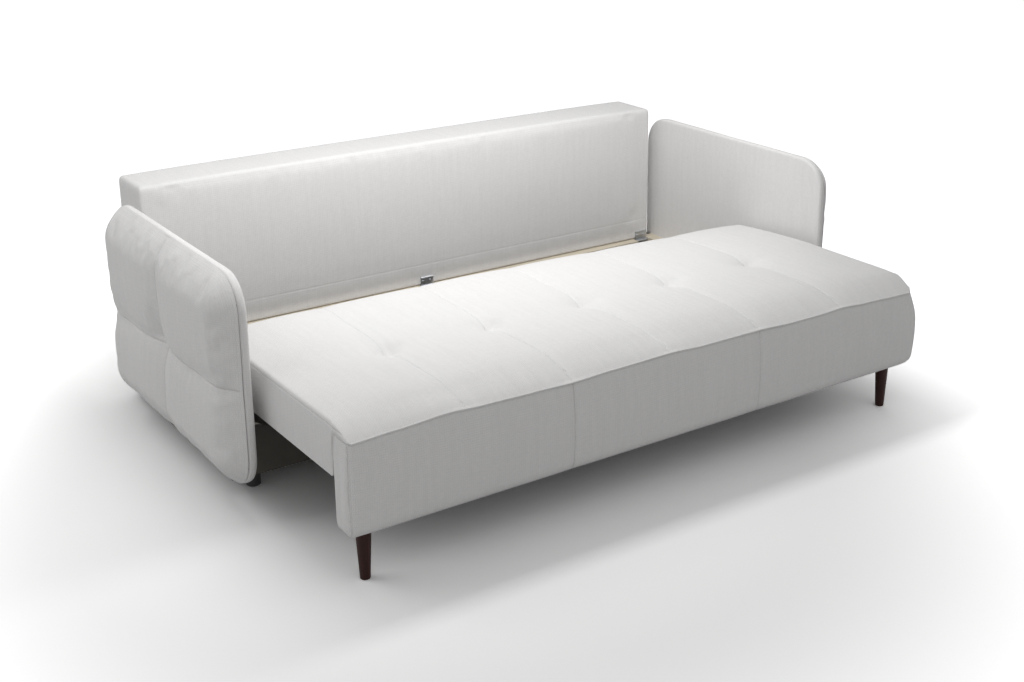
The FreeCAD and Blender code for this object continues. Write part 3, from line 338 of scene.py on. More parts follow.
def press_groove(piece, axis, places, test, depth, width=GROOVE_WIDTH, through=(0, 0, 0),
                 normal=None):
    """Presses a narrow sewn groove into the faces that pass the test, along each place on an
    axis. A tilted groove also has its plane's normal and a point that it runs through."""
    normal = normal or UNITS[axis]
    centres = []
    for place in places:
        centre = Vector(through)
        centre[axis] = place
        centres.append(centre)
        for row in GROOVE_ROWS:
            cut_plane(piece, centre + UNITS[axis] * (row * width), normal, test)
    piece.data.update()
    ways = [point.normal.copy() for point in piece.data.vertices]
    for point, way in zip(piece.data.vertices, ways):
        away = min(abs((point.co - centre).dot(normal)) for centre in centres) / width
        if away < 0.99 and test(point.co, way):
            point.co -= way * depth * (1 - away) ** 1.5
    piece.data.update()


# Forms of the padded pieces

def clamp(share):
    return min(1.0, max(0.0, share))


def eased(share):
    """0 below 0, 1 above 1 and a smooth rise between."""
    share = clamp(share)
    return share * share * (3 - 2 * share)


def hump(share):
    """0 at both ends of a run and 1 at its middle."""
    return math.sin(math.pi * clamp(share))


def fall(distance, reach, power=1.0):
    """1 at no distance, falling away over the reach."""
    return math.exp(-(abs(distance) / reach) ** power)


def nearest(x, seams):
    return min(abs(x - seam) for seam in seams)


def soften(point, low, high, low_radii, high_radii):
    """A point of a block's skin on the same block with rounded edges, and the way it faces."""
    inner = Vector()
    off = Vector()
    radii = Vector()
    for axis in range(3):
        first = low[axis] + low_radii[axis]
        last = high[axis] - high_radii[axis]
        inner[axis] = min(max(point[axis], first), last)
        side = low_radii if point[axis] < first else high_radii
        radii[axis] = side[axis]
        if point[axis] != inner[axis] and side[axis] > 0:
            off[axis] = (point[axis] - inner[axis]) / side[axis]
    if off.length < 1e-5:
        return point, Vector((0, 0, -1))
    off.normalize()
    moved = Vector(inner[n] + off[n] * radii[n] if off[n] else point[n] for n in range(3))
    return moved, off


def seam_wave(x):
    """How far the front seam lies above its straight line at a place along the seat."""
    if x <= SEAM_WAVE[0][0]:
        return SEAM_WAVE[0][1]
    for (start, first), (end, last) in zip(SEAM_WAVE, SEAM_WAVE[1:]):
        if x <= end:
            return first + (last - first) * eased((x - start) / (end - start))
    return SEAM_WAVE[-1][1]


def seam_fade(from_front, reach):
    """How much of the front seam's rise and dip is left at a place behind it."""
    return 1 - eased((from_front - 0.004) / reach)


def tuft_pocket(x, y):
    """The three-cornered pocket that a tuft pulls in to its right and behind it."""
    sides = eased((x + 0.004) / 0.010) * eased((y + 0.004) / 0.010)
    return sides * (1 - eased((x + y) / POCKET_REACH))


def seat_height(x, y, crown):
    """How high the seat's cover lies before its seams and tufts draw it down."""
    inward = 1 - (1 - clamp((SEAT_HALF - abs(x)) / SEAT_END_RISE)) ** ROUNDNESS
    full = SEAT_EDGE + crown * inward
    shoulder = 1 - clamp((y - SEAT_FRONT) / (0.10 + 0.07 * inward))
    from_rear = SEAT_HIGH.y - y
    behind = 1 - clamp(from_rear / 0.10)
    sag = REAR_SAG * eased((x + 0.30) / 1.2) * (1 - clamp(from_rear / 0.36)) ** 1.5
    front_drop = (full - SEAM_LINE) * shoulder ** ROUNDNESS
    return full - front_drop - REAR_DROP * inward * behind ** 2 - sag


def corner_draw(x, from_front, z):
    """How far the right front corner is drawn in towards the front seam."""
    if x <= 0:
        return 0.0
    near = eased(1 - (SEAT_HALF - x) / CORNER_REACH) * fall(max(0.0, from_front), 0.07, 2)
    return CORNER_DRAW * near * eased((z - 0.30) / 0.11)


def seat_form(point):
    """The one-piece seat cushion: crowned, with five seams and a row of five tufts."""
    sizes = bpy.context.scene.sofa_bed_sizes
    step = APRON_HIGH.y
    # the block's underside is no edge to round, so it is taken as one metre lower
    low = SEAT_LOW - UNITS[2]
    high = Vector((SEAT_HIGH.x, SEAT_HIGH.y, SEAT_EDGE))
    skin, out = soften(point, low, high, *SEAT_RADII)
    # ahead of the step the cover lies on the apron, with a hair between them
    floor = APRON_HIGH.z + 0.0003 if point.y < step - 1e-4 else SEAT_LOW.z
    share = (skin.z - SEAT_LOW.z) / (SEAT_EDGE - SEAT_LOW.z)
    top = eased((share - 0.78) / 0.2)
    skin.z = floor + share * (seat_height(skin.x, skin.y, sizes.seat_crown) - floor)

    from_front = skin.y - SEAT_FRONT
    from_end = SEAT_HALF - abs(skin.x)
    row = skin.y - TUFT_ROW
    runs = (0.45 + 0.55 * eased(from_front / 0.09)) * eased(from_front / 0.012)
    runs *= 0.35 + 0.65 * eased((SEAT_HIGH.y - skin.y) / 0.22)
    dip = sizes.seam_valley * fall(nearest(skin.x, SEAT_SEAMS), 0.045, 1.2) * runs
    dip += 0.004 * fall(row, 0.075, 1.3) * eased((from_end - 0.12) / 0.15)
    for seam in SEAT_SEAMS:
        x = skin.x - seam
        if abs(x) < TUFT_LIMIT and abs(row) < TUFT_LIMIT:
            dip += sizes.tuft_depth * fall(math.hypot(x, row), TUFT_REACH, 1.2)
            dip += POCKET_DEPTH * tuft_pocket(x, row)
    skin.z -= dip * top

    if abs(out.x) > 0.5:
        skin.x += math.copysign(0.004 * hump(share), out.x)
    skin.x -= corner_draw(skin.x, from_front, skin.z)
    # the seam's rise and dip fades towards the rear, sooner low on the ends than on the top
    if skin.y < step:
        fade = seam_fade(from_front, LOW_FADE)
        fade += (seam_fade(from_front, TOP_FADE) - fade) * clamp(share)
        skin.z += seam_wave(skin.x) * fade
    return skin


def apron_form(point):
    """The deep padded front: bulged, tucked in below, drawn in at two upright seams."""
    sizes = bpy.context.scene.sofa_bed_sizes
    skin, out = soften(point, *APRON_BLOCK, *APRON_RADII)
    if skin.y > APRON_HIGH.y - 1e-4:
        return skin
    height = (skin.z - APRON_LOW.z) / (APRON_HIGH.z - APRON_LOW.z)
    full = hump(height * 0.94 + 0.03) ** 0.8
    from_end = SEAT_HALF - abs(skin.x)
    bulge = sizes.apron_bulge * full * (0.55 + 0.45 * eased(from_end / 0.10))
    bulge -= 0.006 * fall(nearest(skin.x, APRON_SEAMS), 0.040, 1.2) * (0.4 + 0.6 * full)
    bulge += 0.0012 * noise.noise(Vector((skin.x * 9, skin.z * 2.2, 3)))
    bulge -= 0.0045 * fall(APRON_HIGH.z - skin.z, 0.010, 1)
    skin.y -= bulge * max(0.0, -out.y)
    # the ends bulge too, the right one more, but lie flush with the seat's ends behind
    flush = 1 - eased((skin.y - SEAT_FRONT - 0.015) / 0.045)
    skin.x += out.x * (0.019 if out.x > 0 else 0.010) * full * flush
    skin.x -= corner_draw(skin.x, skin.y - SEAT_FRONT, skin.z)
    wave = seam_wave(skin.x) * eased((height - 0.5) / 0.5)
    skin.z += wave * seam_fade(skin.y - SEAT_FRONT, LOW_FADE)
    return skin


def back_form(point):
    """The upright back: one flat padded panel with soft edges and a little crown."""
    skin, out = soften(point, BACK_LOW, BACK_HIGH, *BACK_RADII)
    up = (skin.z - BACK_LOW.z) / (BACK_HIGH.z - BACK_LOW.z)
    inward = 1 - (abs(skin.x) / SEAT_HALF) ** 6
    # the ends of the front lie on the box rails when the back is folded down, so they stay flat
    off_rails = eased((SEAT_HALF - BACK_REST - abs(skin.x)) / 0.10)
    free = eased((skin.z - BACK_LOW.z - 0.035) / 0.10) * (off_rails if out.y < 0 else 1)
    skin.y += out.y * 0.005 * hump(up) ** 0.7 * inward * free
    skin.z += max(0, out.z) * (0.006 + 0.004 * inward)
    skin.y += 0.0010 * noise.noise(Vector((skin.x * 4, skin.z * 5, 1))) * free * abs(out.y)
    return skin


def arm_outline(y, z, low, high):
    """How deep a point lies inside the arm's rounded outline, and the way out of it."""
    middle = ((low.y + high.y) / 2, (low.z + high.z) / 2)
    half = ((high.y - low.y) / 2 - ARM_CORNER, (high.z - low.z) / 2 - ARM_CORNER)
    past = [abs(y - middle[0]) - half[0], abs(z - middle[1]) - half[1]]
    signs = [math.copysign(1, y - middle[0]), math.copysign(1, z - middle[1])]
    if past[0] > 0 and past[1] > 0:
        reach = math.hypot(*past)
        way = (0, signs[0] * past[0] / reach, signs[1] * past[1] / reach)
        return ARM_CORNER - reach, Vector(way)
    if past[0] > past[1]:
        return ARM_CORNER - past[0], Vector((0, signs[0], 0))
    return ARM_CORNER - past[1], Vector((0, 0, signs[1]))


def arm_skin(point, low, high, inner_reach, outer_reach, outer_rise):
    """A point of an arm block's skin with the outline's corners and both edges rounded, the
    way it faces, and how deep it lies inside the outline."""
    skin = point
    # each row inwards is rounded as the outline shrunk to it, which keeps the rows apart
    row = max(0.0, min(point.y - low.y, high.y - point.y, point.z - low.z, high.z - point.z))
    corner = ARM_CORNER - row
    if corner > 0:
        radii = (0, corner, corner)
        skin, _ = soften(point, low + Vector((-1, row, row)), high - Vector((-1, row, row)),
                         radii, radii)
    deep, way = arm_outline(skin.y, skin.z, low, high)
    outer_edge = high.x - outer_rise
    inner_edge = low.x + inner_reach
    if point.x > outer_edge - 1e-6 and deep < outer_reach:
        out = way * ((outer_reach - deep) / outer_reach)
        out.x = (point.x - outer_edge) / outer_rise
        out.normalize()
        # the outer edge rises steeply from the gusset and flattens early towards the face
        turned = math.asin(min(1, out.x)) / (math.pi / 2)
        skin = skin + way * (deep - outer_reach * turned)
        skin.x = outer_edge + out.x * outer_rise
    elif point.x < inner_edge + 1e-6 and deep < inner_reach:
        out = way * ((inner_reach - deep) / inner_reach)
        out.x = (point.x - inner_edge) / inner_reach
        out.normalize()
        skin = skin - way * (inner_reach - deep)
        skin.x = inner_edge
        skin += out * inner_reach
    elif deep < 1e-5:
        out = way
    else:
        out = Vector((1 if point.x > (low.x + high.x) / 2 else -1, 0, 0))
    return skin, out, deep


def from_tuft(at):
    """How far a point lies from the arm pillow's upright seam and from its level one, which
    climbs a little towards the front."""
    y = at.y - ARM_CROSS[0]
    return y, at.z - ARM_CROSS[1] - LEVEL_SLOPE * y


def pillow_form(point):
    """The outer pillow: two by two fields that meet in one deep tuft."""
    sizes = bpy.context.scene.sofa_bed_sizes
    low, high = PILLOW_BLOCK
    skin, out, deep = arm_skin(point, low, high, 0.004, PILLOW_REACH, PILLOW_RISE)
    if out.x < 0 and deep > 0.004:
        return skin
    y, z = from_tuft(skin)
    ahead = eased(out.x / 0.7)
    dip = 0.010 * fall(y, 0.050, 1.1) + 0.011 * fall(z, 0.045, 1.1)
    dip += sizes.arm_tuft_depth * 0.5 * fall(math.hypot(y, z), 0.055, 1.2)
    # the cover gathers deepest above the tuft, on the side towards the back
    pinch = eased(y / 0.012) * (1 - eased((y - 0.012) / 0.075))
    dip += 0.016 * pinch * eased(z / 0.012) * (1 - eased((z - 0.012) / 0.125))
    dip -= 0.004 * hump(abs(y) / 0.46) * hump(abs(z) / 0.31)
    skin -= out * dip * (0.22 + 0.78 * ahead)
    skin += out * 0.0016 * noise.noise(Vector((skin.y * 7, skin.z * 7, 5))) * ahead
    return skin


def slab_form(point):
    """The flat inner slab with its gusset strip round the edge."""
    skin, out, deep = arm_skin(point, ARM_LOW, ARM_HIGH, 0.006, 0.0035, 0.0035)
    if out.x < -0.5:
        skin.x -= 0.0022 * eased(deep / 0.12)
        skin.x += 0.0009 * noise.noise(Vector((skin.y * 6, skin.z * 6, 9)))
    elif abs(out.x) < 0.3:
        across = (point.x - ARM_LOW.x) / (ARM_HIGH.x - ARM_LOW.x)
        skin += out * 0.0022 * hump(across)
    return skin


# Finishes

def rgb(text):
    """An sRGB hex colour as linear red, green, blue and alpha."""
    parts = [int(text[n:n + 2], 16) / 255 for n in (1, 3, 5)]
    return [part / 12.92 if part <= 0.04045 else ((part + 0.055) / 1.055) ** 2.4
            for part in parts] + [1.0]


def fill_node(tree, node, settings):
    """Sets a node's options and sockets. A socket whose value is a node, or a node and the
    name of its output, is linked to it."""
    for name, value in settings.items():
        pair = isinstance(value, tuple) and len(value) == 2
        source, output = value if pair else (value, 0)
        if isinstance(source, bpy.types.Node):
            tree.links.new(source.outputs[output], node.inputs[name])
        elif isinstance(name, int) or name in node.inputs:
            node.inputs[name].default_value = value
        else:
            setattr(node, name, value)
    return node


def add_node(tree, kind, settings):
    return fill_node(tree, tree.nodes.new("ShaderNode" + kind), settings)


def start_material(name):
    """The tree, main shader and coordinates of a new material."""
    material = bpy.data.materials.new(name)
    material.use_nodes = True
    tree = material.node_tree
    tree.nodes.clear()
    shader = add_node(tree, "BsdfPrincipled", {})
    add_node(tree, "OutputMaterial", {"Surface": shader})
    return tree, shader, add_node(tree, "TexCoord", {})


def maths(tree, operation, *inputs):
    """A math node with its inputs in order, each a number or a node."""
    return add_node(tree, "Math", {"operation": operation, **dict(enumerate(inputs))})


def blend(tree, share, first, second):
    return add_node(tree, "Mix", {"data_type": "FLOAT", 0: share, 2: first, 3: second})


def noisy(tree, place, scale, detail, roughness=0.5, distortion=0.0):
    return add_node(tree, "TexNoise", {"Scale": scale, "Detail": detail, "Vector": place,
                                       "Roughness": roughness, "Distortion": distortion})


def spread(tree, source, low, high, first=0.0, last=1.0):
    """The source's values from first to last, spread over low to high."""
    return add_node(tree, "MapRange", {"Value": source, "From Min": first, "From Max": last,
                                       "To Min": low, "To Max": high})


def tinted(tree, text, shade):
    """The hex colour, made darker and lighter by a shade."""
    return add_node(tree, "VectorMath", {"operation": "SCALE", 0: rgb(text)[:3],
                                         "Scale": shade})


def bumped(tree, height, strength, distance):
    return add_node(tree, "Bump", {"Strength": strength, "Distance": distance,
                                   "Height": height})


def woven_cover(colours, sizes):
    """Basket weave of soft matt polyester yarn, two threads to a cell: a fine regular grain
    with a little shade between the threads, slightly uneven yarn and a faint bloom at the
    edges. The 6 mm cell is the real one."""
    tree, shader, place = start_material("woven_cover")
    scaled = add_node(tree, "Mapping", {"Location": (0, 0, 0.5), "Scale": (1 / sizes.weave,) * 3,
                                        "Vector": (place, "UV")})
    parts = add_node(tree, "SeparateXYZ", {0: scaled})
    waves = {}
    for way in ("X", "Y"):
        for threads in (1, 2):
            turned = maths(tree, "MULTIPLY", (parts, way), math.pi * threads)
            waves[way, threads] = maths(tree, "ABSOLUTE", maths(tree, "SINE", turned))
    rows = []
    for across, along in (("Y", "X"), ("X", "Y")):
        crown = maths(tree, "MULTIPLY_ADD", waves[along, 1], 0.6, 0.4)
        rows.append(maths(tree, "MULTIPLY", waves[across, 2], crown))
    checks = add_node(tree, "TexChecker", {"Scale": 1.0, "Vector": scaled})
    height = blend(tree, (checks, "Fac"), *rows)
    yarn = noisy(tree, (place, "Object"), 90.0, 3.0, 0.7)
    streaks = add_node(tree, "Mapping", {"Scale": (70, 5, 1), "Vector": (place, "UV")})
    slub = noisy(tree, streaks, 1.0, 2.0)
    shade = spread(tree, blend(tree, 0.4, yarn, slub), 0.93, 1.03, 0.25, 0.75)
    # painted shade: the colour is darker in the gaps between the threads, where the weave would
    # shade itself
    both = maths(tree, "MULTIPLY", shade, spread(tree, height, 0.84, 1.04))
    fuzz = maths(tree, "MULTIPLY_ADD", yarn, 0.35, height)
    fill_node(tree, shader, {"Base Color": tinted(tree, colours.cover, both),
                             "Normal": bumped(tree, fuzz, 0.45, 0.0009), "Roughness": 0.88,
                             "Specular IOR Level": 0.25, "Sheen Weight": 0.12,
                             "Sheen Roughness": 0.5})


def planed_timber(name, text, along):
    """Planed birch, unfinished: pale and matt with long faint grain along the piece."""
    tree, shader, place = start_material(name)
    stretch = [55.0, 55.0, 55.0]
    stretch[along] = 2.2
    scaled = add_node(tree, "Mapping", {"Scale": stretch, "Vector": (place, "Object")})
    grain = noisy(tree, scaled, 1.0, 5.0, 0.6, 0.6)
    both = blend(tree, 0.3, grain, noisy(tree, scaled, 5.0, 2.0))
    shade = spread(tree, both, 0.84, 1.04, 0.3, 0.7)
    fill_node(tree, shader, {"Base Color": tinted(tree, text, shade), "Roughness": 0.62,
                             "Normal": bumped(tree, both, 0.25, 0.0006)})


def stained_walnut(text):
    """Turned wood with a dark walnut stain under satin lacquer: brown-black with red lights,
    upright grain and a soft gloss."""
    tree, shader, place = start_material("stained_walnut")
    scaled = add_node(tree, "Mapping", {"Scale": (180, 180, 9), "Vector": (place, "Object")})
    grain = noisy(tree, scaled, 1.0, 5.0, 0.65, 0.8)
    shade = spread(tree, grain, 0.45, 1.25, 0.3, 0.7)
    fill_node(tree, shader, {"Base Color": tinted(tree, text, shade),
                             "Roughness": spread(tree, grain, 0.42, 0.58),
                             "Normal": bumped(tree, grain, 0.15, 0.0003),
                             "Specular IOR Level": 0.2, "Coat Weight": 0.05,
                             "Coat Roughness": 0.35})


def faced_board(text):
    """Particle board with a dark grey printed face: matt, a little mottled, fine pores."""
    tree, shader, place = start_material("faced_board")
    mottle = noisy(tree, (place, "Object"), 14.0, 6.0, 0.7)
    pores = noisy(tree, (place, "Object"), 900.0, 1.0)
    shade = spread(tree, mottle, 0.85, 1.1, 0.3, 0.7)
    fill_node(tree, shader, {"Base Color": tinted(tree, text, shade), "Roughness": 0.7,
                             "Normal": bumped(tree, pores, 0.2, 0.0004)})


def plain_coat(name, text, grain, roughness, bump, metallic=0.0):
    """An even colour whose gloss and surface vary with one fine noise. The grain is its scale
    and detail, the roughness a lower and an upper value, the bump a strength and a depth."""
    tree, shader, place = start_material(name)
    grit = noisy(tree, (place, "Object"), *grain)
    fill_node(tree, shader, {"Base Color": rgb(text), "Metallic": metallic,
                             "Roughness": spread(tree, grit, *roughness),
                             "Normal": bumped(tree, grit, *bump)})


def spunbonded_cloth(text):
    """Thin spunbonded polypropylene: black, papery, with a grid of bonded points."""
    tree, shader, place = start_material("spunbonded_cloth")
    dots = add_node(tree, "TexVoronoi", {"Scale": 420.0, "Randomness": 0.15,
                                         "Vector": (place, "Object")})
    fill_node(tree, shader, {"Base Color": rgb(text), "Roughness": 0.85,
                             "Normal": bumped(tree, (dots, "Distance"), 0.4, 0.0004)})


def seen_directly(tree):
    """1 for the rays by which the camera sees, also in a mirror or through glass."""
    path = add_node(tree, "LightPath", {})
    seen = maths(tree, "MAXIMUM", (path, "Is Camera Ray"), (path, "Is Glossy Ray"))
    return maths(tree, "MAXIMUM", seen, (path, "Is Transmission Ray"))


def studio_floor(text):
    """Seamless white studio floor: to the camera it is white wherever the object doesn't shade
    it, with a painted shadow that darkens it round a point to the front left of the sofa's
    middle, and to the object it is plain pale card."""
    tree, shader, place = start_material("studio_floor")
    card = add_node(tree, "BsdfDiffuse", {"Color": rgb(text)})
    # painted shadow: to the camera the floor is darker the nearer it lies to this point, as if
    # the sofa shaded it there
    away = add_node(tree, "VectorMath", {"operation": "DISTANCE", 0: (place, "Object"),
                                         1: (-0.45, -0.30, 0)})
    level = spread(tree, (away, "Value"), 1.15, 2.4, 1.0, 2.2)
    level.interpolation_type = "SMOOTHSTEP"
    white = add_node(tree, "BsdfDiffuse", {"Color": level})
    both = add_node(tree, "MixShader", {0: seen_directly(tree), 1: card, 2: white})
    output = next(node for node in tree.nodes if node.type == "OUTPUT_MATERIAL")
    fill_node(tree, output, {"Surface": both})
    tree.nodes.remove(shader)


class SOFABED_OT_finishes(bpy.types.Operator):
    """Make the finishes and give them to the parts that keep their shape"""

    bl_idname = "sofabed.finishes"
    bl_label = "Finishes"

    def execute(self, context):
        colours = context.scene.sofa_bed_colours
        woven_cover(colours, context.scene.sofa_bed_sizes)
        for along, axis in enumerate("xyz"):
            planed_timber(f"planed_timber_{axis}", colours.timber, along)
        faced_board(colours.board)
        stained_walnut(colours.leg)
        spunbonded_cloth(colours.cloth)
        # bright zinc plate on pressed steel: silvery, with soft smudges
        plain_coat("plated_zinc", colours.zinc, (120.0, 4.0), (0.22, 0.48), (0.08, 0.0002), 1.0)
        # steel strip under black stove enamel: half gloss, with a fine orange peel
        plain_coat("painted_steel", colours.steel, (420.0, 2.0), (0.34, 0.5), (0.12, 0.0003))
        # moulded plastic with a fine spark-eroded grain
        plain_coat("black_plastic", colours.plastic, (1400.0, 1.0), (0.39, 0.53),
                   (0.15, 0.0002))
        plain_coat("grey_nylon", colours.nylon, (1400.0, 1.0), (0.49, 0.63), (0.15, 0.0002))
        for name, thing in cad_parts.items():
            chosen = next(finish for starts, finish in FINISHES if name.startswith(starts))
            if not thing.material_slots:
                thing.data.materials.append(bpy.data.materials[chosen])
            for place in thing.material_slots:
                place.material = bpy.data.materials[chosen]
        return {"FINISHED"}


# Padded pieces

def dress(piece, body, fill, *nodes):
    """Gives a sewn piece its cover, body and slot, and hides the nodes it stands for; its fill is
    not used.
    """
    smooth(piece)
    piece.data.materials.clear()
    piece.data.materials.append(bpy.data.materials["woven_cover"])
    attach(piece, body)
    if nodes:
        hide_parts(*nodes)


def make_welt(name, points, radius):
    """A narrow round welt sewn along a seam of the seat, through the points given."""
    bpy.ops.object.select_all(action="DESELECT")
    bpy.ops.curve.primitive_nurbs_path_add()
    piece = bpy.context.object
    piece.name = piece.data.name = name
    piece.data.splines.clear()
    run = piece.data.splines.new("POLY")
    run.points.add(len(points) - 1)
    for place, at in zip(run.points, points):
        place.co = (*at, 1)
    piece.data.bevel_depth = radius
    piece.data.bevel_resolution = 3
    piece.data.use_fill_caps = True
    piece.location = (0, 0, 0)
    take(piece)
    bpy.ops.object.convert(target="MESH")
    piece = bpy.context.object
    settle(piece)
    layer = piece.data.uv_layers.active or piece.data.uv_layers.new(name="weave")
    for corner, spot in zip(piece.data.loops, layer.data):
        at = piece.data.vertices[corner.vertex_index].co
        spot.uv = (at.x + at.y, at.z + at.y)
    dress(piece, "seat", 0.9)


class SOFABED_OT_seat_cushion(bpy.types.Operator):
    """Make the crowned seat cushion with its seams and tufts"""

    bl_idname = "sofabed.seat_cushion"
    bl_label = "Seat cushion"

    def execute(self, context):
        groove = context.scene.sofa_bed_sizes.groove
        step, rear = APRON_HIGH.y, SEAT_HIGH.y
        ys = rims(SEAT_FRONT, rear, (0.005, 0.012, 0.020, 0.028, 0.042, 0.056, 0.070),
                  (0.003, 0.007, 0.012, 0.021, 0.032, 0.045))
        ys |= {step - 0.001, step + 0.001, TUFT_ROW}
        ys |= spaced(step + 0.001, TUFT_ROW, CELL) | spaced(TUFT_ROW, rear - 0.045, CELL)
        zs = {0.290, 0.310, 0.335, 0.360, 0.385, 0.4019, 0.410, 0.4165, 0.420, 0.4235, 0.427}
        piece = cut_block("seat_cover", SEAT_LOW, Vector((SEAT_HIGH.x, rear, SEAT_EDGE)),
                          (panel_cuts((0.004, 0.009, 0.020)), ys, zs))
        mould(piece, seat_form)

        def held(at):
            near = nearest(at.x, SEAT_SEAMS)
            return (at.z < 0.405 or at.y < SEAT_FRONT + 0.006 or at.y > rear - 0.010
                    or near < 0.003 or SEAT_HALF - abs(at.x) < 0.010
                    or math.hypot(near, at.y - TUFT_ROW) < 0.016)

        def top(at, way):
            return way.z > 0.3 and at.z > 0.38

        def end(at, way):
            return abs(way.x) > 0.5 and at.z > 0.39 and at.y > SEAT_FRONT + 0.02

        def under(at, way):
            return (at.z < SEAT_LOW.z + 0.002 and way.z < -0.5 and abs(at.x) < 0.968
                    and step + 0.001 < at.y < 0.046)

        fill_cover(piece, held, pressure=4.0, cap=0.007)
        subdivide(piece)
        press_groove(piece, 0, SEAT_SEAMS, top, groove)
        press_groove(piece, 2, [SIDE_SEAM], end, groove * 0.8, 0.0035)
        hollow_out(piece, under, (0, 0, SEAT_HOLLOW))
        dress(piece, "seat", 0.8, "seat_cushion")
        return {"FINISHED"}


class SOFABED_OT_apron(bpy.types.Operator):
    """Make the padded apron and the welts round it"""

    bl_idname = "sofabed.apron"
    bl_label = "Apron"

    def execute(self, context):
        sizes = context.scene.sofa_bed_sizes
        low, high = APRON_BLOCK
        ys = rims(low.y, high.y, (0.006, 0.014, 0.023, 0.034, 0.048, 0.066), (0.0015,))
        zs = rims(low.z, high.z, (0.006, 0.013, 0.022, 0.033, 0.046), (0.003, 0.008, 0.016))
        zs |= spaced(low.z + 0.046, high.z - 0.016, CELL)
        piece = cut_block("apron_cover", low, high, (panel_cuts((0.004, 0.010)), ys, zs))
        mould(piece, apron_form)

        def held(at):
            return (at.y > low.y + 0.040 or at.z > high.z - 0.012 or at.z < low.z + 0.010
                    or nearest(at.x, APRON_SEAMS) < 0.003 or SEAT_HALF - abs(at.x) < 0.012)

        def face(at, way):
            return way.y < -0.3 or (way.z < -0.3 and at.y < low.y + 0.06)

        def behind(at, way):
            return (at.y > high.y - 0.002 and way.y > 0.5 and abs(at.x) < 0.967
                    and low.z + 0.007 < at.z < high.z - 0.002)

        fill_cover(piece, held, pressure=3.0, cap=0.004)
        subdivide(piece)
        press_groove(piece, 0, APRON_SEAMS, face, sizes.groove * 1.4)
        hollow_out(piece, behind, (0, -APRON_HOLLOW, 0))
        dress(piece, "seat", 0.8, "seat_apron")

        front = []
        reach = SEAT_HALF - 0.006
        for n in range(131):
            start = Vector((-reach + 2 * reach * n / 130, low.y, high.z))
            at, _ = soften(start, low, Vector((high.x, 0, 1)), *WELT_RADII)
            at.z = high.z + WELT_RISE
            at.x -= corner_draw(at.x, at.y - SEAT_FRONT, at.z)
            at.z += seam_wave(at.x)
            front.append(at)
        make_welt("front_welt", front, sizes.welt)
        # the right corner's welt starts further back, where the corner is drawn in
        for side, sign, most_back in (("left", -1, 0.004), ("right", 1, 0.022)):
            top = high.z - 0.005 + min(0, seam_wave(SEAT_HALF * sign))
            corner = []
            for n in range(33):
                down = n / 32
                at = apron_form(Vector((SEAT_HALF * sign, low.y + most_back * (1 - down) ** 2,
                                        top - (top - low.z) * down)))
                corner.append(at + Vector((sign * 0.0004, -0.0004, 0)))
            make_welt(f"corner_welt_{side}", corner, sizes.welt * 0.85)
        return {"FINISHED"}


class SOFABED_OT_back(bpy.types.Operator):
    """Make the padded back"""

    bl_idname = "sofabed.back"
    bl_label = "Back"

    def execute(self, context):
        low, high = BACK_LOW, BACK_HIGH
        edges = (0.004, 0.010, 0.017, 0.025)
        xs = rims(low.x, high.x, edges) | spaced(low.x + 0.025, high.x - 0.025, 0.022)
        ys = rims(low.y, high.y, edges) | spaced(low.y + 0.025, high.y - 0.025, 0.024)
        zs = rims(low.z, high.z, (0.003, 0.006, 0.009, 0.018, 0.030), edges)
        zs |= spaced(low.z + 0.030, high.z - 0.025, 0.021)
        piece = cut_block("back_cover", low, high, (xs, ys, zs))
        mould(piece, back_form)

        def held(at):
            edge = BACK_REST + 0.012 if at.y < low.y + 0.02 else 0.012
            return (at.z < low.z + 0.045 or at.z > high.z - 0.004
                    or abs(at.x) > SEAT_HALF - edge)

        def face(at, way):
            return way.y < -0.6

        def under(at, way):
            return (at.z < low.z + 0.002 and way.z < -0.5 and abs(at.x) < 0.944
                    and low.y + 0.030 < at.y < high.y - 0.030)

        fill_cover(piece, held, pressure=2.5, cap=0.004)
        subdivide(piece)
        groove = context.scene.sofa_bed_sizes.groove
        press_groove(piece, 2, [BACK_FOLD], face, groove * 0.22, 0.004)
        hollow_out(piece, under, (0, 0, BACK_HOLLOW))
        dress(piece, "back", 0.85, "back_shell")
        return {"FINISHED"}


def mirrored(piece, name):
    """A copy of the piece with its own mesh on the other side of the sofa."""
    take(piece)
    bpy.ops.object.duplicate(linked=False)
    copy = bpy.context.object
    copy.name = copy.data.name = name
    copy.scale = (-1, 1, 1)
    settle(copy)
    choose_faces(copy)
    bpy.ops.mesh.normals_make_consistent(inside=False)
    bpy.ops.object.mode_set(mode="OBJECT")
    return copy


